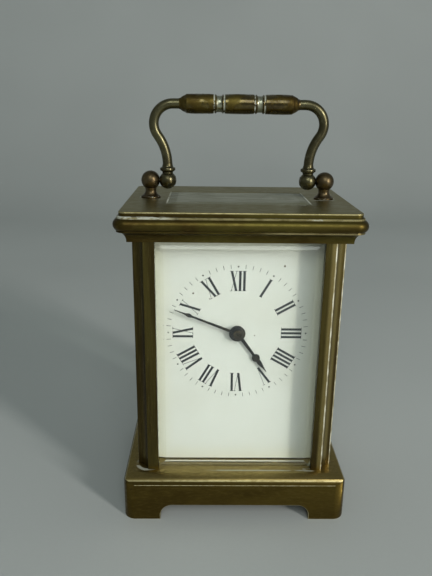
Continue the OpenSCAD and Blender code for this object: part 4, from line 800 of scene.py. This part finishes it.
def buildNumerals():
    d = dialPrint
    bm = bmesh.new()
    words = ["XII", "I", "II", "III", "IIII", "V", "VI", "VII", "VIII", "IX", "X", "XI"]
    for hour, word in enumerate(words):
        turn = radians(30 * hour)

        def place(u, v):
            return (d["centre"][0] + u * cos(turn) + v * sin(turn),
                    d["centre"][1] - u * sin(turn) + v * cos(turn))

        pieces = [letterStrokes(letter) for letter in word]
        at = -sum(p[3] for p in pieces) / 2
        low, high = d["inner"], d["outer"]
        for strokes, feet, heads, wide in pieces:
            middle = at + wide / 2
            at += wide
            for foot, top, w, lift in strokes:
                inkFace(bm, [place(middle + foot - w / 2, low), place(middle + foot + w / 2, low),
                             place(middle + top + w / 2, high), place(middle + top - w / 2, high)], lift)
            for spots, v0, v1 in ((feet, low, low + d["serif"]), (heads, high - d["serif"], high)):
                for x, w in spots:
                    half = w / 2 + d["over"]
                    inkFace(bm, [place(middle + x - half, v0), place(middle + x + half, v0),
                                 place(middle + x + half, v1), place(middle + x - half, v1)], d["serifLift"])
    makePiece(bm, "dialNumerals", [inkMat], "case", (), 30, False)


def buildTrack():
    d = dialPrint
    bm = bmesh.new()
    middle = Matrix.Translation(Vector((d["centre"][0], d["front"], d["centre"][1])) * mm)
    for minute in range(60):
        turn = Matrix.Rotation(radians(6 * minute), 4, "Y")
        if minute % 5:
            made = bmesh.ops.create_grid(bm, x_segments=1, y_segments=1, size=mm)["verts"]
            size, lift = Matrix.Diagonal((*d["dash"], 1, 1)), d["sunk"]
        else:
            made = bmesh.ops.create_circle(bm, cap_ends=True, segments=12, radius=d["dot"] * mm)["verts"]
            size, lift = Matrix.Identity(4), d["dotLift"]
        put = Matrix.Translation((0, -lift * mm, d["trackR"] * mm)) @ Matrix.Rotation(pi / 2, 4, "X") @ size
        bmesh.ops.transform(bm, matrix=middle @ turn @ put, verts=made)
    thicken(bm, bm.faces[:], d["thick"])
    makePiece(bm, "dialTrack", [trackMat], "case", (), 30, False)


def buildSpecks():
    d = dialPrint
    bm = bmesh.new()
    for x, z, r in d["specks"]:
        spot = bmesh.ops.create_circle(bm, cap_ends=True, segments=9, radius=r * mm)["verts"]
        put = Vector((d["centre"][0] + x, d["front"] - d["sunk"], d["centre"][1] + z)) * mm
        bmesh.ops.transform(bm, matrix=Matrix.Translation(put) @ Matrix.Rotation(pi / 2, 4, "X"), verts=spot)
    thicken(bm, bm.faces[:], d["thick"])
    makePiece(bm, "dialSpecks", [speckMat], "case", (), 30, False)


buildNumerals()
buildTrack()
buildSpecks()
print("dial printed")


# hands: thin filed blades on round hubs
hands = dict(shown=288.6, centre=(0, 72.8), thick=0.5, edge=0.13, hub=3.0, hourFront=-20.7, minuteFront=-21.6)


def bladeOutline(half):
    return [(-w, r) for w, r in half] + [(w, r) for w, r in reversed(half)]


def buildHand(name, half, hub, bore, angle, front, body, node):
    h = hands
    bm = bmesh.new()
    turn = Matrix.Rotation(radians(angle), 4, "Y")
    middle = Matrix.Translation(Vector((h["centre"][0], front, h["centre"][1])) * mm)
    face = bm.faces.new([bm.verts.new(Vector((x, 0, z)) * mm) for x, z in bladeOutline(half)])
    thicken(bm, [face], h["thick"])
    bmesh.ops.recalc_face_normals(bm, faces=bm.faces)
    roundOff(bm, [e for e in bm.edges if all(abs(v.co.y) < 1e-7 for v in e.verts)], h["edge"])
    t = h["thick"]
    # hub as a turned disc with a raised ring and a bore
    turned(bm, [(bore, t), (hub - 0.1, t), (hub, t - 0.1), (hub, 0.16), (hub - 0.16, 0), (hub - 0.75, -0.02),
                (hub - 0.9, -0.1), (bore + 0.12, -0.1), (bore, 0), (bore, t)], (0, 0, 0), (0, 1, 0), 48)
    bmesh.ops.transform(bm, matrix=middle @ turn, verts=bm.verts)
    makePiece(bm, name, [handMat], body, [node], 28)


def buildHands():
    h = hands
    minute = [(0.5, 2.4), (0.42, 8.0), (0.31, 17.4), (0.33, 17.9), (0.6, 18.5), (0.72, 19.0), (0.62, 19.6),
              (0.34, 20.3), (0.23, 20.9), (0.17, 22.6), (0.06, 24.8)]
    hour = [(0.66, 2.3), (0.52, 8.0), (0.46, 10.9)]
    hour += [(1.5 * cos(radians(a)), 12.3 + 1.5 * sin(radians(a))) for a in range(-66, 55, 12)]
    hour += [(0.72, 14.1), (0.86, 14.6), (0.7, 15.4), (0.42, 16.8), (0.2, 18.2), (0.08, 19.2)]
    buildHand("minuteHandBlade", minute, h["hub"], 1.36, h["shown"] * 6, h["minuteFront"], "minute_train",
              "minute_hand")
    buildHand("hourHandBlade", hour, h["hub"] * 0.93, 2.12, h["shown"] / 2, h["hourFront"], "hour_train",
              "hour_hand")


buildHands()
print("hands built")


# glass: panes with ground bevels and rims, the lid nearly flush
panes = dict(lidTop=119.2, lidRim=118.9, lidBevel=2, soft=0.1, flatter=0.9995)


def buildPanes():
    for name, body, thin, plain, ground in (
            ("front_glass", "case", 1, glassMat, bevelMat), ("left_glass", "case", 0, glassMat, bevelMat),
            ("right_glass", "case", 0, glassMat, bevelMat), ("door_glass", "door", 1, glassMat, bevelMat),
            ("top_glass", "case", 2, lidMat, lidBevelMat)):
        bm = copiedShape(name)
        if name == "top_glass":
            for v in bm.verts:
                if panes["lidTop"] - panes["lidBevel"] < v.co.z / mm < panes["lidTop"] - 0.05:
                    v.co.z = panes["lidRim"] * mm
        roundOff(bm, [e for e in bm.edges if e.is_manifold
                      and radians(1) < e.calc_face_angle_signed(0) < radians(60)], panes["soft"])
        for face in bm.faces:
            # the flat face, the bevel and the rim, by how far each turns from the pane's own way
            turn = abs(face.normal[thin])
            face.material_index = 2 if turn < 0.5 else 1 if turn < panes["flatter"] else 0
        makePiece(bm, name.split("_")[0] + "PaneBevelled", [plain, ground, rimMat], body,
                  [name], 3, False)


buildPanes()
print("glass fitted")


# click spring: a copy of the leaf, cut across at a few places along its length
clickSpring = dict(root=12.5, tip=8.5, cuts=(7.2, 8, 9, 10, 11, 12), y=12.3, z=47.7)


def buildClickSpring():
    c = clickSpring
    bm = copiedShape("click_spring")
    for x in c["cuts"]:
        cutFlat(bm, x)
    leaf = makePiece(bm, "clickSpringLeaf", [springMat], None, ["click_spring"], 30, False)
    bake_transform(leaf)


buildClickSpring()


# finials: waisted foot and a ball with a flat toward the handle
finial = dict(x=32.6, low=119, ballZ=125.5, ball=3.5, flat=29.35, foot=122.2)


def buildFinials():
    f = finial
    up = f["ballZ"] - f["low"]
    profile = [(0, 0), (3.6, 0), (3.66, 0.12), (3.6, 0.55), (3.35, 0.8)]
    profile += [(3.06, 0.98), (2.7, 1.25), (2.4, 1.6), (2.18, 2.0), (2.06, 2.4), (2.02, 2.8), (2.08, 3.15)]
    profile += [(f["ball"] * cos(radians(a)), up + f["ball"] * sin(radians(a))) for a in range(-52, 86, 6)]
    profile += [(0, up + f["ball"])]
    for side in (1, -1):
        bm = bmesh.new()
        turned(bm, profile, (f["x"], 0, f["low"]), (0, 0, 1), 56)
        cutFlat(bm, f["flat"])
        ball = [v for v in bm.verts if v.co.x < f["flat"] * mm - 1e-7 and v.co.z > f["foot"] * mm]
        bmesh.ops.delete(bm, geom=ball, context="VERTS")
        bmesh.ops.holes_fill(bm, edges=openEdges(bm))
        if side < 0:
            bmesh.ops.scale(bm, vec=(-1, 1, 1), verts=bm.verts)
        word = "right" if side > 0 else "left"
        makePiece(bm, "finialTurned" + word.capitalize(), [caseMats["finial"]], "case",
                  ["finial_" + word], 36)


buildFinials()
print("finials turned")


# floor, backdrop and light
studio = dict(floor=(0.52, 0.545, 0.535), back=0.55, sweep=0.35, side=2.2, front=0.9, wall=1.8,
              keyTurn=44, keyUp=19, keyAway=1.25, keyAim=0.07, keySize=(0.13, 0.55), keyPower=8,
              keyTone=(1.0, 0.985, 0.94), fillPlace=(0.02, -0.95, 0.85), fillAim=0.05, fillSize=(0.6, 0.6),
              fillPower=3.4, fillTone=(0.92, 0.99, 0.97),
              world=(0.78, 0.87, 0.85), worldStrength=0.27)


def backdropPaint():
    mat, tree, shader = startMaterial("studioPaper")
    cloud = noise(tree, coords(tree), 260, 2, 0.5)
    grain = noise(tree, coords(tree), 1.2, 2, 0.5)
    pale = studio["floor"]
    tone = blendColour(tree, ramp(tree, cloud, 0.3, 0.7), pale, tuple(c * 0.93 for c in pale))
    tone = blendColour(tree, calc(tree, "MULTIPLY", grain, 0.05), tone, (0.1, 0.1, 0.1))
    setIn(tree, shader, {"Base Color": tone, "Roughness": 0.7})
    return mat


def buildStudio():
    s = studio
    bm = bmesh.new()
    line = [(-s["side"], -s["front"], 0), (-s["side"], s["back"], 0)]
    line += [(-s["side"], s["back"] + s["sweep"] * sin(radians(a)), s["sweep"] * (1 - cos(radians(a))))
             for a in range(8, 91, 8)]
    line += [(-s["side"], s["back"] + s["sweep"], s["wall"])]
    geom = chain(bm, [Vector(p) / mm for p in line])
    carry(bm, geom, (2 * s["side"] / mm, 0, 0))
    mesh = bpy.data.meshes.new("studioFloor")
    bm.to_mesh(mesh)
    bm.free()
    mesh.shade_smooth()
    mesh.materials.append(backdropPaint())
    floor = bpy.data.objects.new("studioFloor", mesh)
    scene.collection.objects.link(floor)
    world = bpy.data.worlds.new("studioWorld")
    world.use_nodes = True
    sky = world.node_tree.nodes["Background"]
    sky.inputs[0].default_value = (*s["world"], 1)
    sky.inputs[1].default_value = s["worldStrength"]
    scene.world = world


def addLamp(name, place, target, size, power, colour):
    data = bpy.data.lights.new(name, "AREA")
    data.shape = "RECTANGLE"
    data.size, data.size_y = size
    data.energy = power
    data.color = colour
    obj = bpy.data.objects.new(name, data)
    scene.collection.objects.link(obj)
    away = Vector(place) - Vector(target)
    obj.matrix_world = Matrix.Translation(place) @ away.to_track_quat("Z", "Y").to_matrix().to_4x4()


def lightStudio():
    s = studio
    turn, up = radians(s["keyTurn"]), radians(s["keyUp"])
    aim = Vector((0, 0, s["keyAim"]))
    key = aim + Vector((sin(turn) * cos(up), -cos(turn) * cos(up), sin(up))) * s["keyAway"]
    addLamp("window", key, aim, s["keySize"], s["keyPower"], s["keyTone"])
    addLamp("ceiling", s["fillPlace"], (0, 0, s["fillAim"]), s["fillSize"], s["fillPower"], s["fillTone"])


buildStudio()
lightStudio()
scene.view_settings.view_transform = "Standard"
print("studio lit")
